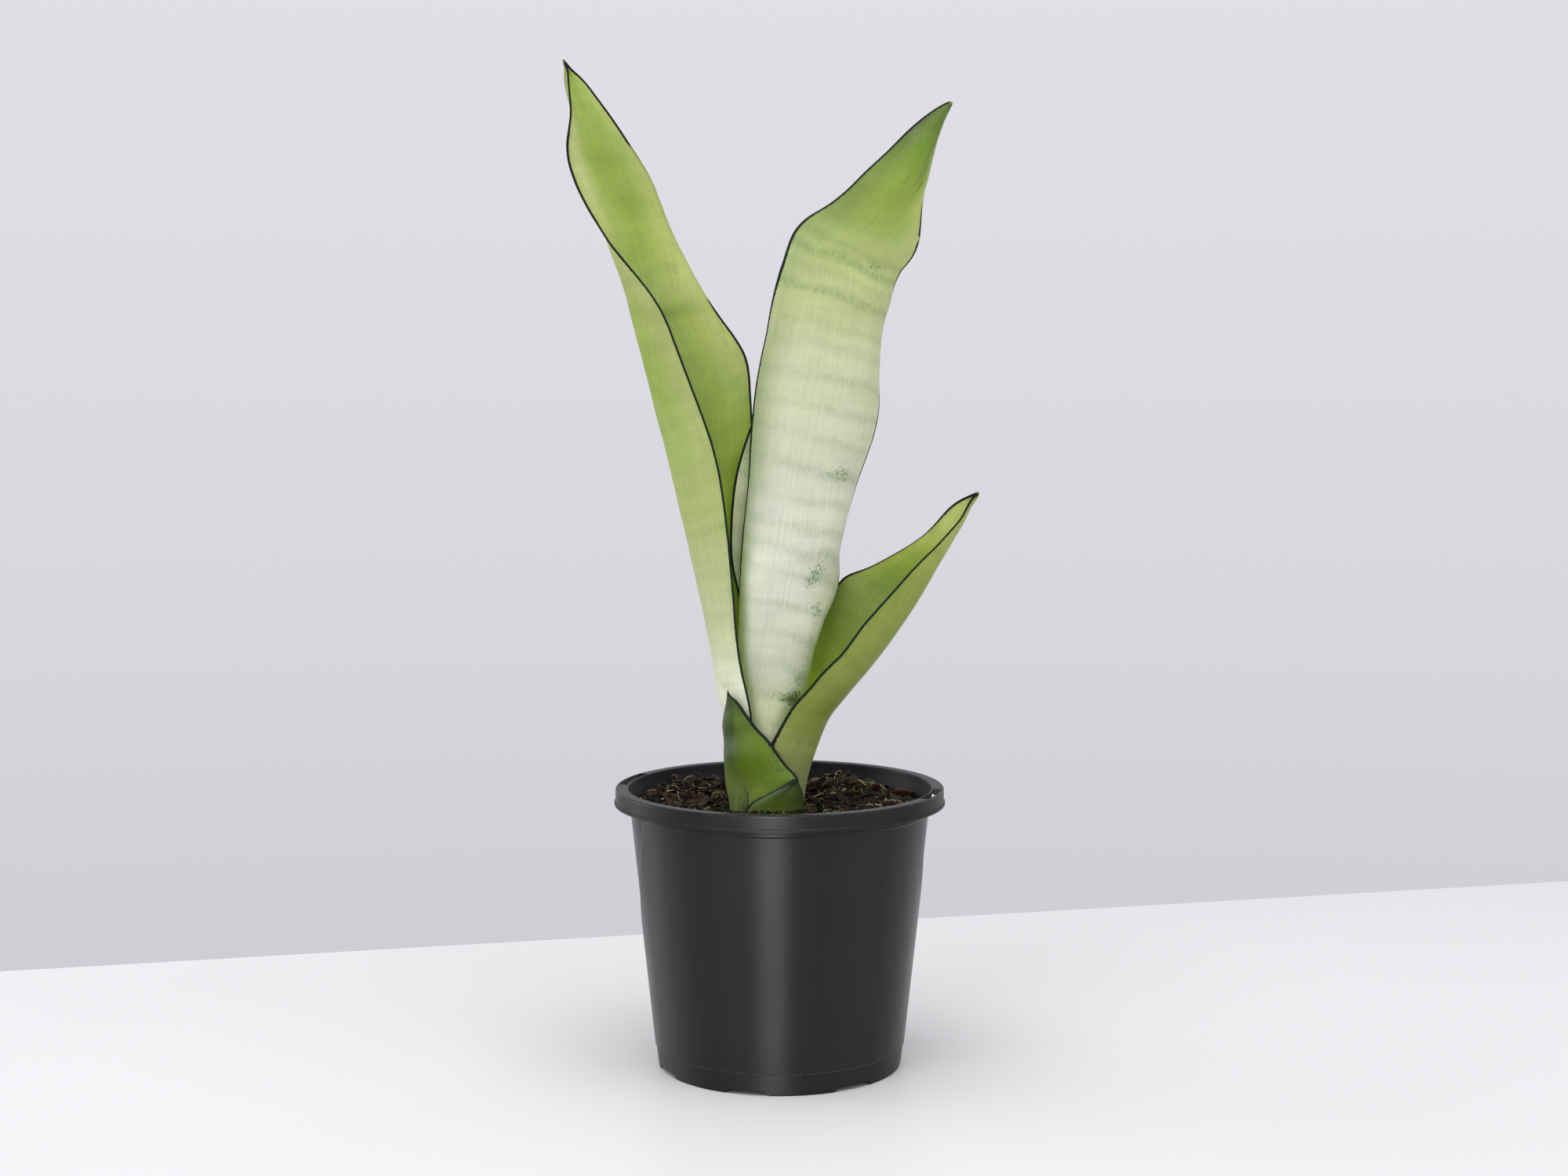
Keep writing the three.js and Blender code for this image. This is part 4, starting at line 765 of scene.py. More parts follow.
def paint_tall_left(u, v, s, x, y, z):
    out = ramp([(0.0, (220, 222, 200)), (0.12, (228, 232, 208)), (0.19, (222, 227, 200)), (0.27, (194, 202, 170)),
                (0.32, (187, 195, 157)), (0.37, (176, 186, 138)), (0.42, (168, 182, 120)), (0.47, (165, 180, 113)),
                (0.53, (160, 177, 104)), (0.60, (151, 169, 86)), (0.68, (158, 173, 101)), (0.76, (170, 180, 124)),
                (0.90, (164, 178, 110)), (1.0, (120, 142, 66))], u)
    out = mixc(out, lin((178, 186, 134)), 0.55 * smooth(-0.60, -0.92, v) * smooth(0.40, 0.55, u))
    # paler and bluer towards the base: partly the pale base of the blade, partly painted light that lifts the lower
    # blade where it lies in shade
    out = out * (0.96 + 0.12 * smooth(0.28, 0.20, u))[:, None] * np.array([1.0, 1.0, 0.93])
    out[:, 2] *= 1 + 0.22 * smooth(0.28, 0.20, u)
    inn = ramp([(0.0, (150, 162, 100)), (0.30, (108, 124, 50)), (0.42, (112, 130, 54)), (0.49, (128, 147, 64)),
                (0.55, (137, 154, 76)), (0.60, (150, 166, 90)), (0.66, (150, 165, 90)), (0.70, (159, 174, 104)),
                (0.76, (152, 167, 88)), (0.82, (146, 163, 82)), (0.87, (140, 158, 77)), (0.92, (153, 171, 89)),
                (0.97, (170, 190, 104)), (1.0, (156, 176, 86))], u)
    # painted light: the inner face is lifted strongly towards the base, where it lies in shade, and lightened towards
    # both margins by side_light
    inn = inn * (1.16 + 0.94 * smooth(0.60, 0.46, u) + 0.80 * smooth(0.47, 0.38, u))[:, None] * np.array([1.0, 1.0, 0.92])
    side_light = smooth(0.35, 0.85, np.abs(v - 0.05)) * smooth(0.40, 0.60, u)
    inn = mixc(inn, lin((196, 205, 140)), 0.46 * side_light)
    inn = mixc(inn, lin((196, 200, 150)), 0.60 * bumps(u, v, [(0.84, -0.72, 0.07, 0.26, 1.0), (0.90, -0.80, 0.04, 0.20, 0.8)]))
    blot = bumps(u, v, [(0.868, 0.05, 0.022, 0.30, 0.95), (0.815, 0.16, 0.024, 0.34, 0.95), (0.757, 0.10, 0.028, 0.30, 0.75),
                        (0.665, 0.25, 0.010, 0.55, 0.85), (0.600, 0.1, 0.016, 0.5, 0.45), (0.545, 0.35, 0.03, 0.4, 0.6),
                        (0.500, 0.4, 0.02, 0.5, 0.6), (0.46, 0.5, 0.02, 0.5, 0.7), (0.93, 0.1, 0.02, 0.25, 0.3)])
    inn = mixc(inn, lin((138, 160, 62)), 0.80 * blot)
    tone = mixc(out, inn, s)
    q = fbm(np.stack([u * 30, v * 2, s * 5], 1), 3, 3)
    mb_out = bands(u, v, [(0.235, 0.20), (0.285, 0.22), (0.34, 0.30), (0.395, 0.25), (0.455, 0.22), (0.54, 0.20), (0.62, 0.28),
                          (0.672, 0.30), (0.715, 0.25)], 5, width=0.008)
    mb_in = bands(u, v, [(0.668, 0.50, 0.2, 0.6), (0.60, 0.2), (0.87, 0.2, 0, 0.4), (0.815, 0.25, 0.2, 0.4)], 6, width=0.006)
    band_ = mb_out * (1 - s) + mb_in * s
    speck = bumps(u, v, [(0.665, 0.3, 0.01, 0.4, 0.35), (0.52, 0.35, 0.06, 0.3, 0.30), (0.36, -0.9, 0.02, 0.1, 0.5)])
    streak = bumps(u, v, [(0.50, 0.3, 0.07, 0.5, 0.35)]) * s
    marg = edge_profile(u, v,
                        [(0, 0.8), (0.3, 1.0), (0.62, 0.85), (0.72, 0.9), (0.78, 1.0), (0.84, 1.2), (0.90, 1.1), (0.92, 0.40), (1, 0.35)],
                        [(0, 0.9), (0.5, 1.0), (0.59, 1.3), (0.655, 1.1), (0.675, 0.06), (0.80, 0.04), (0.845, 0.10), (0.884, 0.20),
                         (0.8855, 0.95), (0.95, 0.75), (1, 0.5)])
    return tone, np.stack([band_, speck, streak, marg], 1)


def paint_tall_center(u, v, s, x, y, z):
    out = ramp([(0.0, (206, 208, 186)), (0.10, (200, 204, 178)), (0.155, (196, 203, 166)), (0.185, (198, 204, 170)), (0.22, (206, 211, 190)),
                (0.30, (214, 218, 200)), (0.37, (217, 221, 204)), (0.43, (214, 218, 200)), (0.474, (207, 212, 190)), (0.53, (209, 213, 190)),
                (0.58, (203, 208, 182)), (0.63, (198, 204, 173)), (0.672, (189, 196, 155)), (0.72, (183, 194, 145)), (0.767, (168, 181, 126)),
                (0.80, (146, 165, 94)), (0.83, (138, 159, 79)), (0.87, (134, 158, 72)), (0.915, (107, 137, 48)), (0.96, (92, 116, 43)),
                (1.0, (92, 112, 52))], u)
    out = mixc(out, lin((168, 181, 138)), 0.58 * smooth(-0.35, -0.95, v) * smooth(0.86, 0.72, u) * smooth(0.40, 0.52, u))
    # painted light: the lower blade is lifted almost to white on the left and made paler on the right, where it lies in
    # shade between the other leaves
    out = mixc(out, lin((250, 253, 236)), 1.00 * smooth(-0.25, -0.62, v) * smooth(0.46, 0.32, u))
    out = mixc(out, lin((232, 236, 206)), 0.70 * smooth(0.25, 0.70, v) * smooth(0.45, 0.25, u))
    out = mixc(out, lin((186, 194, 150)), 0.40 * smooth(0.45, 0.95, v) * smooth(0.40, 0.60, u) * smooth(0.9, 0.8, u))
    out = mixc(out, lin((190, 202, 124)), 0.58 * smooth(0.35, 0.8, v) * smooth(0.80, 0.85, u) * smooth(0.96, 0.9, u))
    out = mixc(out, lin((110, 140, 48)), 0.55 * bumps(u, v, [(0.905, 0.15, 0.035, 0.5, 1.0)]))
    # painted light: brighter towards the base, lifting the lower blade where it lies in shade; darker on the left of
    # the upper blade
    out = out * (0.95 - 0.27 * smooth(-0.1, -0.7, v) * smooth(0.74, 0.82, u) + 0.30 * smooth(0.22, 0.12, u))[:, None]
    out[:, 2] *= np.interp(u, [0.0, 0.45, 0.60, 0.70, 0.80, 0.90], [1.11, 1.09, 1.01, 0.93, 0.78, 0.62])
    inn = ramp([(0.0, (170, 178, 120)), (0.25, (150, 166, 98)), (0.5, (164, 178, 112)), (0.75, (158, 174, 100)), (0.9, (122, 146, 58)), (1, (96, 118, 50))], u)
    inn = mixc(inn, lin((186, 196, 142)), 0.5 * smooth(0.35, 0.9, np.abs(v)))
    tone = mixc(out, inn, s)
    b = bands(u, v, [(0.790, 0.25), (0.757, 0.55), (0.738, 0.80), (0.716, 0.35), (0.692, 0.80), (0.655, 0.30), (0.628, 0.26), (0.592, 0.34),
                     (0.556, 0.28), (0.516, 0.24), (0.476, 0.34), (0.474, 0.75, 0.6, 0.45), (0.435, 0.26), (0.400, 0.30), (0.372, 0.34), (0.345, 0.30),
                     (0.300, 0.38), (0.262, 0.30), (0.225, 0.30), (0.186, 0.42), (0.150, 0.25)], 8, warp=0.010, slope=-0.017, width=0.0062)
    b = (1.10 + 0.50 * smooth(0.68, 0.56, u)) * b * (1 - 0.55 * smooth(0.72, 0.60, u) * smooth(0.2, -0.4, v))
    b_in = bands(u, v, [(0.2, 0.3), (0.28, 0.35), (0.37, 0.4), (0.45, 0.35), (0.54, 0.4), (0.63, 0.45), (0.70, 0.4), (0.78, 0.35)], 9, width=0.008)
    speck = bumps(u, v, [(0.742, 0.42, 0.007, 0.30, 0.95), (0.733, -0.1, 0.008, 0.35, 0.45), (0.757, -0.35, 0.008, 0.3, 0.4), (0.700, 0.52, 0.007, 0.22, 0.75),
                         (0.671, 0.55, 0.006, 0.22, 0.45), (0.590, 0.55, 0.010, 0.18, 0.45), (0.474, 0.55, 0.010, 0.36, 0.86), (0.33, 0.42, 0.20, 0.26, 0.20),
                         (0.43, 0.5, 0.02, 0.16, 0.30), (0.385, 0.32, 0.02, 0.10, 0.35), (0.345, 0.38, 0.016, 0.20, 0.84), (0.330, 0.25, 0.012, 0.12, 0.45),
                         (0.300, 0.50, 0.012, 0.20, 0.70), (0.262, 0.55, 0.030, 0.12, 0.40), (0.262, -0.45, 0.020, 0.10, 0.45),
                         (0.240, 0.55, 0.030, 0.14, 0.40), (0.222, 0.10, 0.020, 0.14, 0.30), (0.208, 0.38, 0.010, 0.20, 0.70),
                         (0.184, 0.38, 0.011, 0.30, 1.10), (0.187, 0.1, 0.006, 0.3, 0.35), (0.16, 0.5, 0.02, 0.2, 0.6)])
    streak = bumps(u, v, [(0.905, 0.25, 0.050, 0.45, 0.70), (0.935, -0.30, 0.020, 0.25, 0.55), (0.87, 0.35, 0.03, 0.35, 0.35)])
    marg = edge_profile(u, v,
                        [(0, 1.2), (0.2, 1.7), (0.55, 2.0), (0.72, 1.9), (0.80, 1.6), (0.90, 1.7), (0.95, 1.7), (1, 1.0)],
                        [(0, 0.8), (0.6, 0.9), (0.735, 0.9), (0.745, 0.9), (0.785, 1.1), (0.7885, 0.2), (0.7915, 0.2), (0.795, 1.2), (0.84, 1.0), (0.9, 0.8), (1, 0.7)])
    return tone, np.stack([b * (1 - s) + b_in * s, speck * (1 - s), streak * (1 - s), marg], 1)


def paint_young_inner(u, v, s, x, y, z):
    # partly the young leaf's own silvery colour, partly painted light: its tones are set very pale and brightened by a
    # fifth again, lifting it where it lies in shade in the channel of the centre leaf
    out = ramp([(0.0, (226, 230, 212)), (0.3, (228, 234, 214)), (0.70, (230, 236, 216)), (0.82, (190, 202, 150)), (0.9, (132, 156, 72)), (1, (96, 118, 50))], u)
    inn = ramp([(0.0, (222, 228, 206)), (0.3, (224, 230, 206)), (0.70, (224, 230, 204)), (0.85, (160, 176, 106)), (1, (96, 118, 50))], u)
    tone = mixc(out, inn, s) * np.array([1.20, 1.20, 1.18])
    b = 0.75 * bands(u, v, [(0.42, 0.35), (0.49, 0.4), (0.55, 0.55), (0.61, 0.35), (0.66, 0.45), (0.72, 0.5), (0.76, 0.6), (0.82, 0.4), (0.88, 0.3)], 12, width=0.010)
    speck = bumps(u, v, [(0.74, -0.9, 0.02, 0.3, 0.5), (0.66, -0.85, 0.015, 0.2, 0.4), (0.56, -0.85, 0.03, 0.3, 0.35)])
    marg = np.full_like(u, 0.95)
    return tone, np.stack([b, speck, np.zeros_like(u), marg], 1)


def paint_small_right(u, v, s, x, y, z):
    out = ramp([(0.0, (190, 194, 166)), (0.13, (166, 172, 132)), (0.18, (152, 160, 108)), (0.23, (166, 178, 112)), (0.29, (144, 158, 84)),
                (0.39, (130, 145, 70)), (0.50, (126, 142, 66)), (0.61, (130, 147, 74)), (0.69, (134, 150, 80)), (0.77, (150, 163, 96)),
                (0.85, (168, 176, 128)), (0.93, (172, 180, 132)), (0.98, (140, 154, 96)), (1.0, (110, 130, 66))], u)
    out = mixc(out, lin((152, 166, 106)), 0.45 * smooth(0.35, 0.75, v) * smooth(0.30, 0.45, u))
    out = mixc(out, lin((176, 176, 112)), 0.55 * smooth(0.50, 0.95, v) * smooth(0.30, 0.16, u))
    inn = ramp([(0.0, (150, 164, 84)), (0.25, (142, 162, 60)), (0.40, (138, 158, 56)), (0.47, (136, 156, 60)), (0.53, (132, 152, 60)), (0.60, (134, 152, 68)),
                (0.68, (124, 148, 54)), (0.75, (130, 154, 54)), (0.83, (164, 182, 82)), (0.90, (190, 202, 122)), (0.965, (176, 190, 112)),
                (1.0, (110, 130, 66))], u)
    inn = mixc(inn, lin((164, 176, 100)), 0.55 * smooth(-0.55, -0.95, v) * smooth(0.5, 0.7, u))
    # painted light: the inner face is lifted towards the base, where it lies in shade
    inn = inn * (1.0 + 0.35 * smooth(0.58, 0.42, u) + 0.85 * smooth(0.45, 0.30, u))[:, None]
    inn[:, 2] *= 1 - 0.50 * bumps(u, v, [(0.76, 0.0, 0.07, 3.0, 1.0)])
    out = out * 0.91
    out[:, 2] *= np.interp(u, [0.0, 0.25, 0.36, 0.80, 1.0], [1.0, 0.95, 0.66, 0.60, 0.75])
    tone = mixc(out, inn, s)
    b = bands(u, v, [(0.33, 0.2), (0.41, 0.2), (0.50, 0.25), (0.60, 0.22), (0.72, 0.25), (0.80, 0.3)], 14, width=0.012)
    speck = bumps(u, v, [(0.17, 0.4, 0.05, 0.5, 0.55), (0.12, 0.3, 0.04, 0.5, 0.6), (0.78, -0.7, 0.03, 0.2, 0.5), (0.70, -0.6, 0.04, 0.3, 0.35),
                         (0.63, -0.55, 0.04, 0.3, 0.3)])
    streak = bumps(u, v, [(0.15, 0.2, 0.06, 0.5, 0.40), (0.60, -0.6, 0.10, 0.25, 0.35)])
    marg = edge_profile(u, v,
                        [(0, 0.8), (0.30, 0.9), (0.55, 1.0), (0.66, 1.0), (0.72, 0.35), (0.85, 0.35), (0.90, 0.8), (0.97, 1.3), (1, 1.3)],
                        [(0, 1.9), (0.20, 1.9), (0.28, 1.4), (0.45, 1.15), (0.62, 0.95), (0.80, 0.7), (0.9, 0.6), (1, 1.0)])
    return tone, np.stack([b, speck, streak, marg], 1)


def paint_sheath_left(u, v, s, x, y, z):
    out = ramp([(0.0, (134, 148, 88)), (0.20, (122, 142, 70)), (0.30, (136, 160, 68)), (0.40, (122, 150, 54)), (0.55, (102, 130, 34)), (0.68, (94, 122, 34)),
                (0.80, (90, 114, 42)), (0.90, (74, 94, 46)), (1.0, (50, 64, 36))], u)
    # the left part of the blade is its own dark grey-green; it is set darkest from about u 0.6 to 0.72, with a broad
    # dark patch at u 0.62, as painted shade that holds down the sheen of the light from the left
    grey = ramp([(0.0, (134, 146, 98)), (0.30, (120, 136, 80)), (0.46, (104, 122, 62)), (0.60, (46, 64, 20)), (0.72, (52, 70, 24)), (0.85, (60, 78, 30)), (1, (50, 64, 30))], u)
    out = mixc(out, grey, 0.9 * smooth(0.30, 0.12, v))
    out = mixc(out, lin((106, 132, 62)), 0.5 * bumps(u, v, [(0.34, 0.55, 0.07, 0.25, 1.0)]))
    out = mixc(out, lin((56, 78, 20)), 0.85 * bumps(u, v, [(0.62, 0.15, 0.13, 0.36, 1.0)]))
    out[:, 2] *= np.interp(u, [0.0, 0.42, 0.55, 1.0], [1.0, 0.9, 0.62, 0.60])
    inn = ramp([(0.0, (110, 124, 70)), (0.5, (96, 120, 48)), (1, (60, 78, 40))], u)
    tone = mixc(out, inn, s)
    speck = bumps(u, v, [(0.43, 0.80, 0.03, 0.12, 0.9), (0.50, 0.88, 0.06, 0.06, 0.9), (0.30, 0.1, 0.10, 0.3, 0.3)])
    streak = 1.15 * bumps(u, v, [(0.28, 0.20, 0.20, 0.14, 1.0), (0.30, -0.10, 0.20, 0.20, 0.7), (0.20, 0.34, 0.10, 0.10, 0.75), (0.55, 0.16, 0.16, 0.08, 0.55), (0.78, 0.0, 0.1, 0.2, 0.4)])
    marg = edge_profile(u, v,
                        [(0, 1.0), (0.6, 1.0), (0.75, 0.8), (0.9, 0.9), (1, 1.0)],
                        [(0, 1.4), (0.35, 1.7), (0.55, 2.2), (0.75, 1.9), (0.9, 1.3), (1, 1.0)])
    return tone, np.stack([np.zeros_like(u), speck, streak, marg], 1)


def paint_scale_front(u, v, s, x, y, z):
    out = ramp([(0.0, (122, 146, 58)), (0.40, (104, 126, 50)), (0.60, (86, 106, 45)), (0.80, (58, 78, 40)), (1.0, (44, 58, 38))], u)
    out = mixc(out, lin((56, 72, 46)), 0.6 * smooth(0.35, 0.85, v))
    tone = mixc(out, ramp([(0, (90, 108, 56)), (1, (56, 74, 40))], u), s)
    speck = bumps(u, v, [(0.5, 0.6, 0.2, 0.2, 0.5)])
    streak = bumps(u, v, [(0.6, -0.2, 0.3, 0.6, 0.45)])
    marg = edge_profile(u, v, [(0, 1.8), (0.5, 2.4), (0.8, 2.2), (1, 1.6)], [(0, 1.0), (0.5, 1.0), (1, 1.0)])
    return tone, np.stack([np.zeros_like(u), speck, streak, marg], 1)


LEAVES = {}
for (name, nu, nv, paint, seed, slot, kw) in (
    ("leaf_tall_left", 340, 58, paint_tall_left, 1, "leaf_green", dict(green=(118, 142, 58), mottle=0.20, band=(104, 124, 66))),
    ("leaf_tall_center", 360, 60, paint_tall_center, 2, "leaf_silver", dict(green=(150, 168, 122), mottle=0.10, band=(104, 128, 78), fibre=0.08, cross_gain=0.26, margin_mm=1.3)),
    ("leaf_young_inner", 200, 40, paint_young_inner, 3, "leaf_silver", dict(green=(130, 148, 104), mottle=0.18, band=(104, 124, 92), fibre=0.09)),
    ("leaf_small_right", 220, 50, paint_small_right, 4, "leaf_green", dict(green=(98, 124, 40), mottle=0.16, band=(92, 114, 50))),
    ("leaf_sheath_left", 150, 50, paint_sheath_left, 5, "leaf_dark", dict(green=(78, 108, 30), mottle=0.18, band=(60, 84, 34), streak=(48, 62, 42), margin=(12, 22, 10), rough=0.44)),
    ("leaf_scale_front", 90, 40, paint_scale_front, 6, "leaf_dark", dict(green=(52, 76, 30), mottle=0.25, band=(50, 70, 34), streak=(38, 52, 34), margin=(15, 25, 16), rough=0.34)),
):
    o, info = build_leaf(name, nu, nv, paint, seed)
    finish_piece(o, leaf_material(name + "_skin", seed, **kw), slot, name)
    LEAVES[name] = info


# ------------------------------------------------------------------ pot
RIM_R, RIM_TOP, SKIRT_BOTTOM, SKIRT_INNER, MOUTH_R = 100.0, 170.7, 160.8, 98.5, 92.2
WALL_TOP_R, WALL_FOOT_R, FOOT_BAND, FOOT_R, WALL = 91.9, 76.4, 13.6, 74.2, 1.5
FLOOR_LOW, FLOOR_TOP, PAD_R, RING_R = 2.6, 4.4, 24.0, 64.0
NOTCHES, NOTCH_FIRST, NOTCH_SPAN, NOTCH_H = 7, 255.0, 19.3, 2.6


def wall_r(z):
    return WALL_FOOT_R + (WALL_TOP_R - WALL_FOOT_R) * (z - FOOT_BAND) / (160 - FOOT_BAND)


def filleted(points, closed_steps=4):
    """[(r, z, radius)] to a polyline whose corners are arcs of about that radius"""
    out = []
    n = len(points)
    for i, (r, z, f) in enumerate(points):
        p = np.array([r, z])
        if f <= 0 or i in (0, n - 1):
            out.append(p)
            continue
        a, b = np.array(points[i - 1][:2]), np.array(points[i + 1][:2])
        ua, ub = (a - p) / np.linalg.norm(a - p), (b - p) / np.linalg.norm(b - p)
        ang = math.acos(np.clip(np.dot(ua, ub), -1, 1))
        d = min(f / math.tan(ang / 2), 0.48 * np.linalg.norm(a - p), 0.48 * np.linalg.norm(b - p))
        for k in range(closed_steps + 1):
            t = k / closed_steps
            out.append((1 - t) ** 2 * (p + ua * d) + 2 * t * (1 - t) * p + t * t * (p + ub * d))
    return np.array(out)


def build_pot():
    pts = [(0, 0, 0), (PAD_R, 0, .5), (PAD_R + 1.5, FLOOR_LOW, .5), (RING_R, FLOOR_LOW, .5), (RING_R + 2, 0, .4), (FOOT_R, 0, .9),
           (FOOT_R + 1.5, 12.9, .25), (WALL_FOOT_R, FOOT_BAND, .25)]
    for z in (30, 55, 78):
        pts.append((wall_r(z), z, 0))
    for z in np.arange(80, 156.1, 2.0):
        pts.append((wall_r(z), z, 0))
    pts += [(WALL_TOP_R + .5, 157, .3), (WALL_TOP_R + .5, 168.6, .8), (SKIRT_INNER, 168.6, .8), (SKIRT_INNER, SKIRT_BOTTOM, .3),
            (RIM_R + .5, SKIRT_BOTTOM, .45), (RIM_R + .5, SKIRT_BOTTOM + 1.5, .35), (RIM_R - .3, SKIRT_BOTTOM + 2.2, .35),
            (RIM_R - .2, RIM_TOP, 1.25), (MOUTH_R, RIM_TOP, .8), (MOUTH_R, 166.5, .5), (wall_r(160) - WALL + .1, 160.5, .5)]
    for z in np.arange(156, 79.9, -4.0):
        pts.append((wall_r(z) - WALL, z, 0))
    pts += [(wall_r(FOOT_BAND) - WALL, FOOT_BAND, .6), (FOOT_R - 1.2, FLOOR_TOP, 1.2), (0, FLOOR_TOP, 0)]
    prof = filleted(pts)
    seg = 600
    ang = 2 * np.pi * np.arange(seg) / seg
    deg = np.degrees(ang)
    R, Z = prof[1:-1, 0], prof[1:-1, 1]
    rr = np.repeat(R[:, None], seg, 1)
    zz = np.repeat(Z[:, None], seg, 1)
    # two shallow tapering panels
    half = 26.0 * (zz - 80) / 80.0
    inset = np.zeros_like(rr)
    for c in (184.0, 4.0):
        off = np.abs((deg[None, :] - c + 540) % 360 - 180)
        inset = np.maximum(inset, 0.9 * smooth(0, 1.6, half - off))
    on_wall = (zz > 80) & (zz < 156.6) & (rr > 60)
    rr = rr - np.where(on_wall, inset, 0)
    # moulding is never perfectly round: a whisper of ovality and of sink in the wall
    rr = rr + np.where((zz > 14) & (zz < 157) & (rr > 60), 0.05 * np.sin(2 * ang + .6)[None, :] + 0.03 * np.sin(5 * ang)[None, :], 0)
    V = np.stack([rr * np.cos(ang), rr * np.sin(ang), zz], -1).reshape(-1, 3)
    n, m = len(R), seg
    i, k = np.meshgrid(np.arange(n - 1), np.arange(m), indexing="ij")
    a, b = i * m + k, i * m + (k + 1) % m
    quads = np.stack([a, b, b + m, a + m], -1).reshape(-1, 4)
    V = np.concatenate([V, [[0, 0, 0], [0, 0, FLOOR_TOP]]])
    c0, c1 = n * m, n * m + 1
    kk = np.arange(m)
    t0 = np.stack([(kk + 1) % m, kk, np.full(m, c0)], 1)
    t1 = np.stack([(n - 1) * m + kk, (n - 1) * m + (kk + 1) % m, np.full(m, c1)], 1)
    pot = mesh_object("pot_shell", V, [quads, np.concatenate([t0, t1])])
    outward(pot)
    cutters = []

    def wedge(name, r0, r1, c, half_lo, half_hi, z0, z1, steps=16):
        """ring block whose angular half width changes from half_lo at z0 to half_hi at z1"""
        vs = []
        for z, h in ((z0, half_lo), (z1, half_hi)):
            for r in (r0, r1):
                for j in range(steps + 1):
                    t = rad(c - h + 2 * h * j / steps)
                    vs.append((r * math.cos(t), r * math.sin(t), z))
        s = steps + 1
        fs = []
        for j in range(steps):
            lo_in, lo_out, hi_in, hi_out = j, s + j, 2 * s + j, 3 * s + j
            fs += [(lo_in, lo_in + 1, lo_out + 1, lo_out), (hi_in, hi_out, hi_out + 1, hi_in + 1),
                   (lo_in, hi_in, hi_in + 1, lo_in + 1), (lo_out, lo_out + 1, hi_out + 1, hi_out)]
        fs += [(0, s, 3 * s, 2 * s), (steps, 2 * s + steps, 3 * s + steps, s + steps)]
        o = mesh_object(name, vs, np.array(fs))
        outward(o)
        cutters.append(o)

    for c in (165.0, 345.0):
        wedge("cut_slot_%d" % c, 93.3, 98.3, c, 12.0, 12.9, 167.0, 172.0)
    for j in range(NOTCHES):
        c = NOTCH_FIRST + 360.0 * j / NOTCHES
        h = NOTCH_SPAN / 2
        wedge("cut_notch_%d" % j, RING_R - 1, FOOT_R + 4, c, h + 1.9, h - 0.9, -1.0, NOTCH_H)
        vs, fs, s = [], [], 40
        cx, cy = 49 * math.cos(rad(c)), 49 * math.sin(rad(c))
        for z in (-1.0, 8.0):
            for q in range(s):
                vs.append((cx + 5.5 * math.cos(2 * math.pi * q / s), cy + 5.5 * math.sin(2 * math.pi * q / s), z))
        side = [(q, (q + 1) % s, s + (q + 1) % s, s + q) for q in range(s)]
        vs += [(cx, cy, -1.0), (cx, cy, 8.0)]
        caps = [((q + 1) % s, q, 2 * s) for q in range(s)] + [(s + q, s + (q + 1) % s, 2 * s + 1) for q in range(s)]
        o = mesh_object("cut_drain_%d" % j, vs, [np.array(side), np.array(caps)])
        outward(o)
        cutters.append(o)
    col = bpy.data.collections.new("cutters")
    scene.collection.children.link(col)
    for o in cutters:
        scene.collection.objects.unlink(o)
        col.objects.link(o)
    md = pot.modifiers.new("cut", "BOOLEAN")
    md.operation = "DIFFERENCE"
    md.operand_type = "COLLECTION"
    md.collection = col
    md.solver = "EXACT"
    dg = bpy.context.evaluated_depsgraph_get()
    me = bpy.data.meshes.new_from_object(pot.evaluated_get(dg))
    pot.modifiers.clear()
    pot.data = me
    for o in cutters:
        bpy.data.objects.remove(o)
    bpy.data.collections.remove(col)
    me.polygons.foreach_set("use_smooth", np.ones(len(me.polygons), bool))
    me.set_sharp_from_angle(angle=rad(34))
    me.update()
    return pot


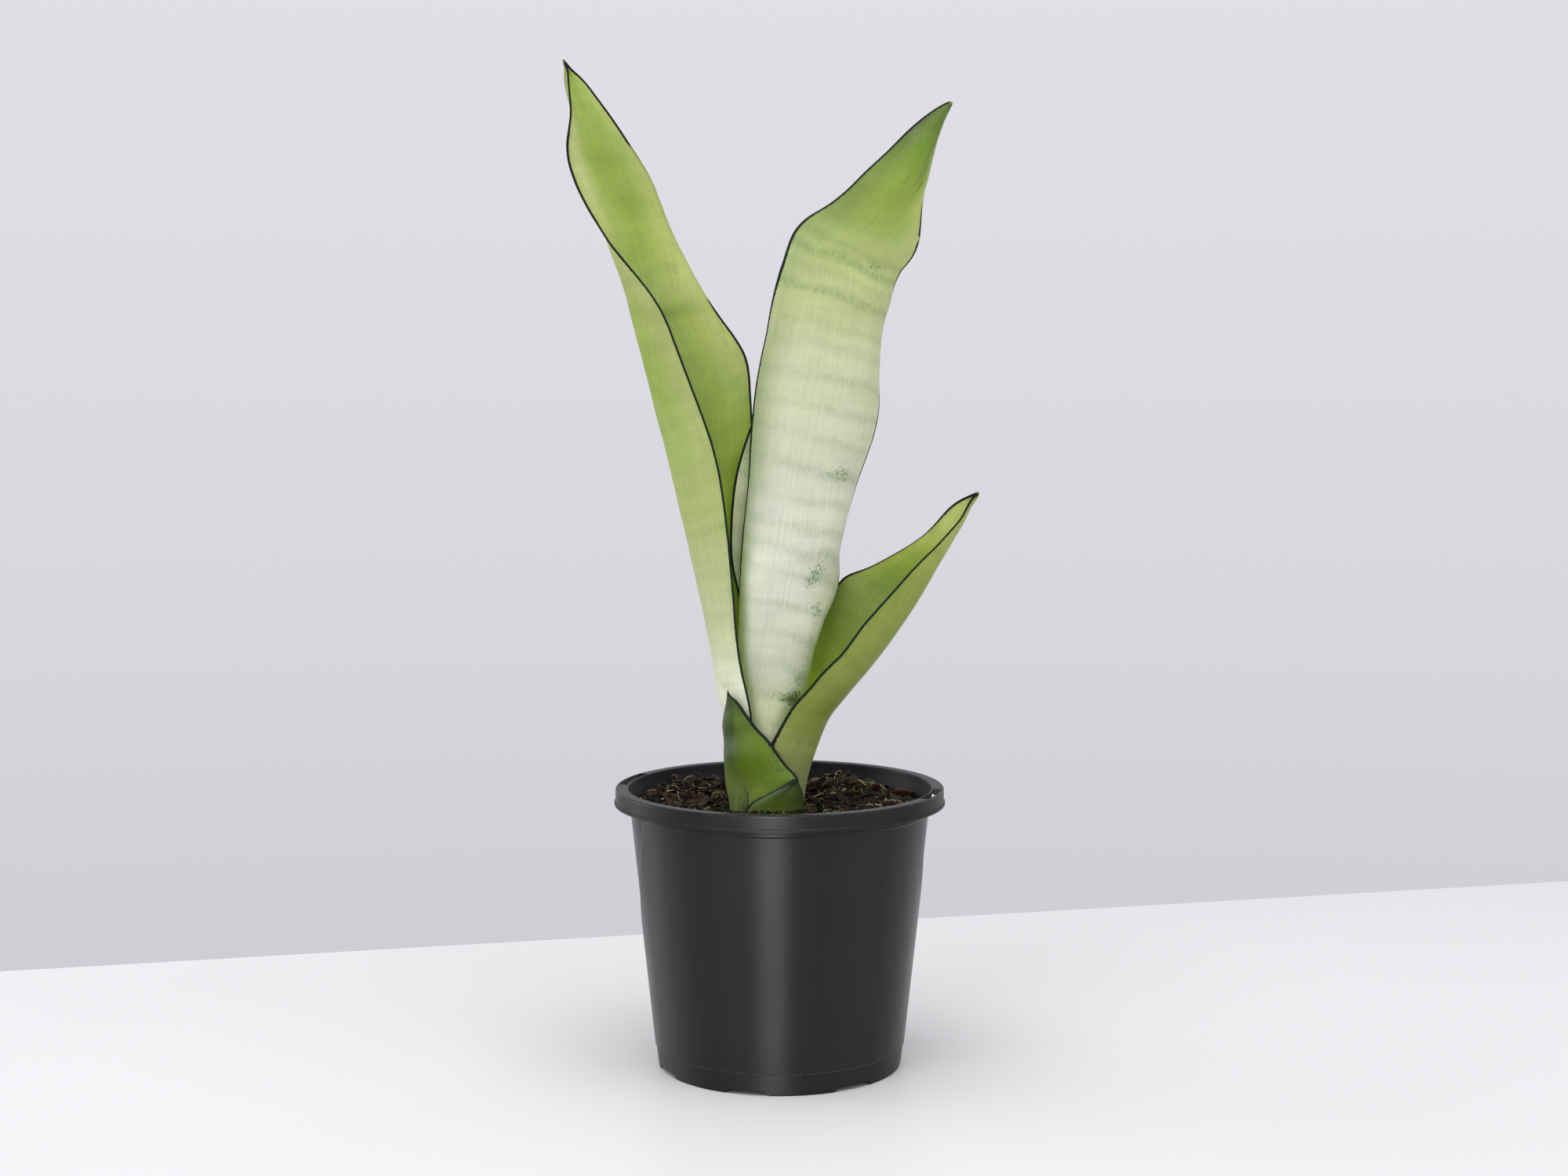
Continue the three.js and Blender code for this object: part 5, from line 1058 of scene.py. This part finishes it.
def pot_material():
    t = Tree("pot_plastic")
    p = t.object_mm()
    sep = t.new("ShaderNodeSeparateXYZ")
    t.put(sep.inputs[0], p)
    x, y, z = sep.outputs
    ang = t.m("ARCTAN2", y, x)
    ring = t.vec(t.mul(ang, 82.0), z, 0.0)
    flow = t.noise(t.vscale(ring, (0.10, 0.012, 1.0)), 1.0, 3.0, 0.5)
    cloud = t.noise(p, 0.03, 4.0, 0.55)
    grain = t.noise(p, 2.2, 2.0, 0.5)
    col = t.mix(cloud, tuple(lin((13, 13, 15))), tuple(lin((19, 19, 21))))
    # dust caught on upward faces near the rim, and faint lengthwise scuffs on the wall
    geo = t.new("ShaderNodeNewGeometry")
    sn = t.new("ShaderNodeSeparateXYZ")
    t.put(sn.inputs[0], geo.outputs["Normal"])
    up = t.step(0.55, 0.95, sn.outputs[2])
    dust = t.mul(t.step(0.42, 0.72, t.noise(p, 0.35, 4.0, 0.65)), up)
    col = t.mix(t.mul(dust, 0.16), col, tuple(lin((120, 116, 112))))
    scuff = t.noise(t.vscale(ring, (1.2, 0.05, 1.0)), 1.0, 3.0, 0.7)
    scuff = t.step(0.70, 0.78, scuff)
    patch = t.step(0.52, 0.70, t.noise(p, 0.045, 2.0, 0.5))
    scuffs = t.mul(scuff, patch)
    col = t.mix(t.mul(scuffs, 0.10), col, tuple(lin((110, 110, 114))))
    # worn line where the foot band begins
    line = t.mul(t.step(0.42, 0.12, t.m("ABSOLUTE", t.sub(z, 13.25))), t.step(0.42, 0.60, t.noise(t.vscale(ring, (0.35, 2.0, 1.0)), 1.0, 3.0, 0.6)))
    col = t.mix(t.mul(line, 0.35), col, tuple(lin((120, 122, 124))))
    # one small moulding pip on top of the rim at the left front
    dx, dy = t.sub(x, -95.6), t.sub(y, 3.5)
    pip = t.step(0.75, 0.35, t.m("SQRT", t.add(t.mul(dx, dx), t.mul(dy, dy))))
    pip = t.mul(pip, up)
    col = t.mix(pip, col, (0.002, 0.002, 0.002))
    r = t.m("MULTIPLY_ADD", t.sub(cloud, 0.5), 0.10, 0.36)
    r = t.m("MULTIPLY_ADD", t.sub(flow, 0.5), 0.06, r)
    r = t.m("MULTIPLY_ADD", scuffs, 0.14, r)
    r = t.m("MULTIPLY_ADD", dust, 0.12, r)
    band = t.step(14.0, 13.0, z)
    r = t.m("MULTIPLY_ADD", band, 0.10, r)
    r = t.m("MULTIPLY_ADD", t.mul(t.step(160.0, 161.6, z), t.step(170.2, 169.2, z)), 0.16, r)
    n = t.bump(t.m("MULTIPLY_ADD", grain, 0.5, t.noise(p, 6.0, 1.0, 0.5)), 0.00003, 0.35)
    n = t.bump(t.noise(t.vscale(ring, (0.05, 0.01, 1.0)), 1.0, 2.0, 0.4), 0.0006, 0.35, normal=n)
    t.set(color=col, roughness=r, specular=0.24, normal=n)
    # fine rings round the upright faces spread a reflection up and down the wall; level faces have none
    level = t.step(0.55, 0.85, t.m("ABSOLUTE", sn.outputs[2]))
    t.put(t.bsdf.inputs["Anisotropic"], t.m("MULTIPLY_ADD", level, -0.9, 0.9))
    t.put(t.bsdf.inputs["Tangent"], t.vec(0.0, 0.0, 1.0))
    return t.mat


pot = build_pot()
finish_piece(pot, pot_material(), "pot_plastic", "nursery_pot")
lit = bpy.data.collections.new("pot_strip_receivers")
lit.objects.link(pot)
for panel in (strip, edge_left):
    panel.light_linking.receiver_collection = lit


# ------------------------------------------------------------------ potting mix
def mix_top(x, y):
    r = np.hypot(x, y)
    return (157.2 + 1.3 * np.sin(x / 17 + 0.6) * np.cos(y / 21 - 0.4) + 0.8 * np.sin(x / 8.5 - y / 11)
            - 1.2 * np.maximum(0, (r - 70) / 20))


def mix_surface(x, y):
    """the finished surface: the level of the CAD mix with low mounds, lumps and crumbs"""
    x, y = np.asarray(x, float), np.asarray(y, float)
    z = mix_top(x, y)
    for (cx, cy, s, h) in ((-60, 34, 15, 7.0), (-46, 22, 12, 3.0), (-78, 10, 9, 2.0), (-33, 30, 12, 4.5), (26, 28, 14, 6.5), (42, 32, 14, 6.5), (55, 22, 12, 5.0),
                           (70, -6, 12, 2.5), (30, -40, 18, 1.2), (-35, -45, 18, 0.8), (10, 55, 18, 4.0), (-10, 60, 18, 3.0), (-50, 50, 16, 3.0), (52, 48, 16, 2.5)):
        z = z + h * np.exp(-((x - cx) ** 2 + (y - cy) ** 2) / (2 * s * s))
    p = np.stack([x.ravel(), y.ravel(), np.zeros(x.size)], 1)
    lump = fbm(p / 9.0, 41, 3).reshape(x.shape)
    clod = np.abs(fbm(p / 3.6, 43, 3)).reshape(x.shape)
    crumb = fbm(p / 1.25, 47, 2).reshape(x.shape)
    fade = smooth(92, 84, np.hypot(x, y))
    return z + fade * (1.7 * lump + 2.2 * clod + 0.75 * crumb) - 1.2 * (1 - fade)


def build_mix():
    rings = np.r_[0.8, np.linspace(2.5, 89.4, 132), 90.0]
    seg = 480
    ang = 2 * np.pi * np.arange(seg) / seg
    rr, aa = np.meshgrid(rings, ang, indexing="ij")
    limit = wall_r(158.0) - WALL - 0.15
    inset = np.zeros_like(aa)
    for c in (184.0, 4.0):
        off = np.abs((np.degrees(aa) - c + 540) % 360 - 180)
        inset = np.maximum(inset, 0.9 * smooth(0, 1.6, 25.0 - off))
    rr = np.minimum(rr, limit - inset)
    X, Y = rr * np.cos(aa), rr * np.sin(aa)
    Zs = mix_surface(X, Y)
    top = np.stack([X, Y, Zs], -1)
    # sideways crumbling so that clods overhang a little
    q = np.stack([X.ravel() / 2.4, Y.ravel() / 2.4, np.zeros(X.size)], 1)
    jig = np.stack([fbm(q, 61, 2), fbm(q, 67, 2)], -1).reshape(X.shape + (2,)) * (0.9 * smooth(90, 84, rr))[..., None]
    top[..., :2] += jig
    lower = []
    for z in (154.0, 120.0, 80.0, 30.0, 14.2):
        r_ = wall_r(z) - WALL - 0.4 - (1.0 if z > 82 else 0)
        lower.append(np.stack([r_ * np.cos(ang), r_ * np.sin(ang), np.full(seg, z)], -1))
    r_ = FOOT_R - 2.0
    lower.append(np.stack([r_ * np.cos(ang), r_ * np.sin(ang), np.full(seg, FLOOR_TOP + 0.4)], -1))
    V = np.concatenate([top.reshape(-1, 3), np.array(lower).reshape(-1, 3)])
    n = len(rings) + len(lower)
    i, k = np.meshgrid(np.arange(n - 1), np.arange(seg), indexing="ij")
    a, b = i * seg + k, i * seg + (k + 1) % seg
    quads = np.stack([a, b, b + seg, a + seg], -1).reshape(-1, 4)
    c0 = len(V)
    V = np.concatenate([V, [[0, 0, float(mix_surface(np.zeros(1), np.zeros(1))[0])], [0, 0, FLOOR_TOP + 0.4]]])
    kk = np.arange(seg)
    t0 = np.stack([(kk + 1) % seg, kk, np.full(seg, c0)], 1)
    t1 = np.stack([(n - 1) * seg + kk, (n - 1) * seg + (kk + 1) % seg, np.full(seg, c0 + 1)], 1)
    o = mesh_object("mix_bed", V, [quads, np.concatenate([t0, t1])])
    outward(o)
    return o


def mix_material():
    t = Tree("potting_mix_bed")
    p = t.object_mm()
    a = t.noise(p, 0.35, 5.0, 0.65)
    b = t.noise(p, 1.3, 4.0, 0.7)
    cell = t.voronoi(p, 0.55, "F1", "Color")
    sep = t.new("ShaderNodeSeparateColor")
    t.put(sep.inputs[0], cell)
    col = t.mix(t.step(0.35, 0.65, a), tuple(lin((15, 12, 9))), tuple(lin((34, 27, 21))))
    col = t.mix(t.step(0.55, 0.72, b), col, tuple(lin((56, 46, 33))))
    col = t.mix(t.mul(t.step(0.90, 0.94, sep.outputs[0]), 0.8), col, tuple(lin((120, 62, 30))))
    col = t.mix(t.mul(t.step(0.92, 0.95, sep.outputs[1]), 0.7), col, tuple(lin((128, 118, 66))))
    n = t.bump(t.m("MULTIPLY_ADD", b, 0.7, a), 0.0012, 0.8)
    t.set(color=col, roughness=t.m("MULTIPLY_ADD", b, -0.25, 0.92), specular=0.25, normal=n)
    return t.mat


mix = build_mix()
finish_piece(mix, mix_material(), "potting_mix", "potting_mix")

rng = np.random.default_rng(20240611)
socket = [(float(p[0]), float(p[1])) for p in [(16.07, -8.85), (16.01, -3.54), (15.92, 2.3), (14.32, 8.35), (10.13, 12.93), (4.63, 15.79), (-1.32, 17.1), (-7.24, 18.12), (-13.64, 19.21), (-21.35, 20.46), (-26.36, 15.13), (-29.5, 8.9), (-31.39, 2.78), (-32.09, -3.17), (-31.52, -8.85), (-30.1, -14.06), (-28.66, -19.16), (-25.96, -23.78), (-21.47, -26.69), (-16.47, -28.03), (-11.75, -28.61), (-7.24, -28.72), (-2.88, -27.94), (1.24, -26.45), (5.08, -24.29), (8.65, -21.51), (11.84, -18.03), (14.58, -13.83)]]
sock = np.array(socket)


def in_socket(x, y, grow=0.0):
    c = sock.mean(0)
    s = c + (sock - c) * (1 + grow / 25.0)
    inside = False
    j = len(s) - 1
    for i in range(len(s)):
        if (s[i, 1] > y) != (s[j, 1] > y) and x < (s[j, 0] - s[i, 0]) * (y - s[i, 1]) / (s[j, 1] - s[i, 1]) + s[i, 0]:
            inside = not inside
        j = i
    return inside


def spots(n, r_max=86.0, bias=None):
    out = []
    while len(out) < n:
        r, a = r_max * math.sqrt(rng.random()), 2 * math.pi * rng.random()
        x, y = r * math.cos(a), r * math.sin(a)
        if in_socket(x, y, 1.5):
            continue
        if bias is not None and rng.random() > bias(x, y):
            continue
        out.append((x, y))
    return np.array(out)


_bm = bmesh.new()
bmesh.ops.create_icosphere(_bm, subdivisions=2, radius=1.0)
_bm.verts.ensure_lookup_table()
ICO_V = np.array([v.co[:] for v in _bm.verts])
ICO_F = np.array([[v.index for v in f.verts] for f in _bm.faces])
_bm.free()
_bm = bmesh.new()
bmesh.ops.create_icosphere(_bm, subdivisions=1, radius=1.0)
ICO1_V = np.array([v.co[:] for v in _bm.verts])
ICO1_F = np.array([[v.index for v in f.verts] for f in _bm.faces])
_bm.free()


def rot(axis, angle):
    axis = np.asarray(axis, float) / np.linalg.norm(axis)
    K = np.array([[0, -axis[2], axis[1]], [axis[2], 0, -axis[0]], [-axis[1], axis[0], 0]])
    return np.eye(3) + math.sin(angle) * K + (1 - math.cos(angle)) * K @ K


def crumbs(name, n, size, palette, weights, flat=(0.5, 0.9), long=(1.0, 1.6), sink=0.25, tilt=0.5, r_max=86.0, bias=None, coarse=True, power=0.8):
    """many small irregular solids lying on the mix, each with its own colour"""
    base_v, base_f = (ICO1_V, ICO1_F) if coarse else (ICO_V, ICO_F)
    P = spots(n, r_max, bias)
    Z = mix_surface(P[:, 0], P[:, 1])
    V, F, C = [], [], []
    pal = np.array([lin(c) for c in palette])
    w = np.array(weights, float) / sum(weights)
    for i in range(n):
        s = size[0] + (size[1] - size[0]) * rng.random() ** 2.2
        l, f = rng.uniform(*long), rng.uniform(*flat)
        v = np.sign(base_v) * np.abs(base_v) ** power
        v = v * (1 + 0.34 * (vnoise(base_v * 1.4 + rng.random(3) * 90, i)[:, None] - 0.5))
        v = v * np.array([l, 1.0, f]) * s / 2
        R = rot((0, 0, 1), rng.uniform(0, 2 * math.pi)) @ rot((rng.normal(), rng.normal(), 0.1), rng.normal() * tilt)
        v = v @ R.T
        low = v[:, 2].min()
        v = v + np.array([P[i, 0], P[i, 1], Z[i] - low * (1 - sink) - s * 0.12])
        F.append(base_f + len(base_v) * i)
        V.append(v)
        c = pal[rng.choice(len(pal), p=w)] * rng.uniform(0.7, 1.3)
        C.append(np.repeat(c[None, :], len(v), 0))
    o = mesh_object(name, np.concatenate(V), np.concatenate(F), colors=dict(tint=np.clip(np.concatenate(C), 0, 1)), smooth_angle=40)
    outward(o)
    return o


def fibres(name, items, sides=6):
    """thin curved strands: (points, radius, taper, colour)"""
    V, F, C, off = [], [], [], 0
    for pts, r, taper, c in items:
        pts = np.asarray(pts, float)
        tg = unit(np.gradient(pts, axis=0))
        up = np.array([0.1, 0.2, 1.0])
        a = unit(np.cross(tg, up))
        b = unit(np.cross(tg, a))
        th = 2 * np.pi * np.arange(sides) / sides
        k = np.linspace(0, 1, len(pts))
        rad_ = r * (1 - taper * np.abs(2 * k - 1) ** 3) * (1 + 0.2 * np.sin(k * 23 + len(V)))
        ringpts = pts[:, None] + rad_[:, None, None] * (np.cos(th)[None, :, None] * a[:, None] + np.sin(th)[None, :, None] * b[:, None])
        n = len(pts)
        V.append(np.concatenate([ringpts.reshape(-1, 3), pts[[0, -1]]]))
        i, j = np.meshgrid(np.arange(n - 1), np.arange(sides), indexing="ij")
        q0, q1 = i * sides + j, i * sides + (j + 1) % sides
        quads = np.stack([q0, q1, q1 + sides, q0 + sides], -1).reshape(-1, 4)
        tri = np.concatenate([quads[:, [0, 1, 2]], quads[:, [0, 2, 3]]])
        jj = np.arange(sides)
        c0 = np.stack([(jj + 1) % sides, jj, np.full(sides, n * sides)], 1)
        c1 = np.stack([(n - 1) * sides + jj, (n - 1) * sides + (jj + 1) % sides, np.full(sides, n * sides + 1)], 1)
        F.append(np.concatenate([tri, c0, c1]) + off)
        C.append(np.repeat(lin(c)[None, :], n * sides + 2, 0))
        off += n * sides + 2
    o = mesh_object(name, np.concatenate(V), np.concatenate(F), colors=dict(tint=np.concatenate(C)), smooth_angle=60)
    outward(o)
    return o


def strand(x, y, length, turn, curl, lift=0.3, n=12, arch=0.0, end_lift=0.0):
    k = np.linspace(0, 1, n)
    a = turn + curl * (k - 0.5) + 0.35 * np.sin(k * 7 + x)
    step = length / (n - 1)
    px = x + np.r_[0, np.cumsum(np.cos(a[:-1]) * step)]
    py = y + np.r_[0, np.cumsum(np.sin(a[:-1]) * step)]
    r = np.hypot(px, py)
    s = np.minimum(1, 87.0 / np.maximum(r, 1e-6))
    px, py = px * s, py * s
    ground = mix_surface(px, py)
    g = np.convolve(np.pad(ground, 2, mode="edge"), np.ones(5) / 5, "valid")
    pz = np.maximum(g, ground - 0.2) + lift + arch * np.sin(np.pi * k) + end_lift * k ** 1.5
    return np.stack([px, py, pz], 1)


def litter_material(name, rough=0.85, rings_=(0.5, 2.0), spec=0.25, vary=0.6, bump=0.0004):
    t = Tree(name)
    p = t.object_mm()
    c = t.attr("tint", "Color")
    a = t.noise(t.vscale(p, (rings_[0], rings_[1], rings_[1])), 1.0, 3.0, 0.6)
    b = t.noise(p, 2.6, 3.0, 0.6)
    k = t.m("MULTIPLY_ADD", t.sub(a, 0.5), vary * 1.4, 1.0)
    k = t.m("MULTIPLY_ADD", t.sub(b, 0.5), vary, k)
    col = t.scale_color(c, k)
    n = t.bump(t.add(a, b), bump, 0.7)
    t.set(color=col, roughness=t.m("MULTIPLY_ADD", b, -0.2, rough), specular=spec, normal=n)
    return t.mat


dark_mat = litter_material("mix_crumb_skin", 0.95, (1.2, 1.2), 0.22, 0.7)
bark_mat = litter_material("bark_flake_skin", 0.85, (0.35, 2.4), 0.28, 0.7)
fibre_mat = litter_material("fibre_skin", 0.75, (0.8, 2.0), 0.3, 0.35, 0.0001)

BROWNS = [(15, 12, 10), (24, 19, 15), (38, 29, 21), (21, 19, 16), (54, 42, 28), (34, 33, 22)]
piece = crumbs("mix_crumbs", 2300, (1.0, 4.6), BROWNS, (5, 5, 3, 4, 1.5, 2), long=(1.0, 1.7), flat=(0.5, 1.0), tilt=0.7)
finish_piece(piece, dark_mat, "potting_mix")
piece = crumbs("bark_flakes", 520, (1.6, 6.2), [(46, 33, 23), (66, 42, 27), (34, 26, 20), (92, 56, 36), (62, 56, 38), (25, 20, 17)],
               (4, 2.0, 6, 0.4, 2.4, 6), flat=(0.14, 0.36), long=(1.3, 2.8), tilt=0.45, coarse=False, power=0.6)
finish_piece(piece, bark_mat, "bark")
piece = crumbs("mix_specks", 560, (0.6, 1.8), [(196, 190, 172), (188, 176, 96), (140, 92, 54), (130, 140, 70), (214, 214, 208), (150, 84, 50)],
               (1.4, 3.2, 2.2, 2.2, 0.7, 1.4), flat=(0.5, 0.9), sink=0.05, tilt=0.5)
finish_piece(piece, fibre_mat, "potting_mix")

items = []
GREENISH = [(150, 148, 84), (168, 164, 104), (122, 126, 60), (140, 120, 78), (104, 112, 52), (186, 178, 132)]
BROWNISH = [(92, 66, 44), (70, 54, 38), (120, 90, 58), (60, 48, 36)]
P = spots(430, 84.0)
for i, (x, y) in enumerate(P):
    pale = rng.random() < (0.60 if x > 8 else 0.28)
    c = GREENISH[rng.integers(len(GREENISH))] if pale else BROWNISH[rng.integers(len(BROWNISH))]
    ln = rng.uniform(3.5, 15) if rng.random() < 0.8 else rng.uniform(12, 24)
    items.append((strand(x, y, ln, rng.uniform(0, 2 * math.pi), rng.normal() * 1.4, lift=rng.uniform(0.2, 0.9), arch=abs(rng.normal()) * 0.8,
                         end_lift=max(0.0, rng.normal() * 1.2)), rng.uniform(0.12, 0.30), 0.6, c))
# a few strands that stand out: pale roots and stems at the right, one orange stalk that stands up
for (x, y, ln, turn, curl, r, c, arch, lift) in (
        (46, -14, 17, 0.1, -0.9, 0.42, (206, 186, 134), 1.6, 1.0), (20, 6, 22, 0.35, 0.5, 0.36, (168, 156, 110), 1.0, 1.0),
        (34, 20, 13, 1.9, 0.8, 0.30, (160, 152, 104), 1.3, 1.0), (38, 26, 12, 2.6, -0.8, 0.28, (150, 146, 92), 1.5, 1.0),
        (33, 30, 10, 1.0, 1.0, 0.26, (160, 148, 104), 1.8, 1.0), (28, -16, 12, -0.5, 0.6, 0.30, (120, 150, 66), 1.0, 0.8),
        (12, -2, 10, 1.2, 0.4, 0.45, (150, 84, 52), 0.8, 0.8), (-60, 30, 9, 0.4, 1.0, 0.32, (150, 120, 80), 3.0, 1.2),
        (-64, 36, 8, 2.0, -1.0, 0.30, (126, 92, 60), 3.4, 1.2), (-72, 14, 10, 0.8, 0.9, 0.34, (176, 160, 96), 1.6, 1.0),
        (62, -20, 12, 2.9, 0.3, 0.34, (150, 142, 92), 0.8, 0.8), (30, -30, 11, 0.3, -0.7, 0.30, (140, 150, 80), 0.8, 0.8)):
    items.append((strand(x, y, ln, turn, curl, lift=lift, arch=arch, n=16), r, 0.5, c))
piece = fibres("mix_fibres", items)
finish_piece(piece, fibre_mat, "potting_mix")


def shard(name, x, y, size, turn, tint, seed, lift=0.0, lean=0.0, subdiv=4, slot="bark", replaces=None, target=None):
    """one larger chip: a split, layered piece of bark"""
    bm = bmesh.new()
    bmesh.ops.create_icosphere(bm, subdivisions=subdiv, radius=1.0)
    v = np.array([q.co[:] for q in bm.verts])
    f = np.array([[q.index for q in g.verts] for g in bm.faces])
    bm.free()
    p = np.sign(v) * np.abs(v) ** 0.55
    p = p * (1 + 0.20 * fbm(v * 1.6, seed, 4)[:, None])
    grain = fbm(np.stack([v[:, 0] * 0.9, v[:, 1] * 6.5, v[:, 2] * 7.5], 1), seed + 3, 4)
    p = p * (1 + 0.13 * grain[:, None] * np.array([0.25, 1.0, 1.0]))
    steps = np.floor((v[:, 2] + 0.25 * v[:, 0]) * 3.0) / 3.0
    p[:, 0] = p[:, 0] * (1 - 0.10 * np.sin(steps * 5 + seed)) + 0.10 * np.sin(steps * 9 + seed)
    p = p * np.array(size) / 2
    p = p @ rot((0, 1, 0), lean).T @ rot((0, 0, 1), rad(turn)).T
    if target is not None:
        lo, hi = target
        lo, hi = np.array(lo) * 1000, np.array(hi) * 1000
        a, b = p.min(0), p.max(0)
        p = (p - (a + b) / 2) * ((hi - lo) / (b - a)) + (lo + hi) / 2
        sit = float(mix_surface(np.array([(lo[0] + hi[0]) / 2]), np.array([(lo[1] + hi[1]) / 2]))[0])
        p[:, 2] += max(0.0, sit - 1.0 - lo[2])
    else:
        z = float(mix_surface(np.array([x]), np.array([y]))[0])
        p = p + np.array([x, y, z - p[:, 2].min() - 0.8 + lift])
    c = lin(tint) * (0.8 + 0.5 * vnoise(v * 3 + seed, seed)[:, None])
    o = mesh_object(name, p, f, colors=dict(tint=c), smooth_angle=50)
    outward(o)
    finish_piece(o, bark_mat, slot, *([replaces] if replaces else []))
    return o


CHIP_TINT = [(118, 108, 70), (60, 42, 30), (46, 36, 27), (74, 50, 34), (60, 54, 38), (44, 33, 25)]
CHIP_SIZE = [(13, 6.5, 4.0), (12, 8, 4.5), (14, 7, 4.0), (11, 8, 4.2), (13, 8, 4.5), (12, 7, 4.2)]
CHIP_TURN = [12, 60, -25, 35, 100, 150]
for i in range(6):
    node = "bark_chip_%d" % (i + 1)
    shard(node + "_fine", 0, 0, CHIP_SIZE[i], CHIP_TURN[i], CHIP_TINT[i], 31 + i, replaces=node, target=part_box(node))
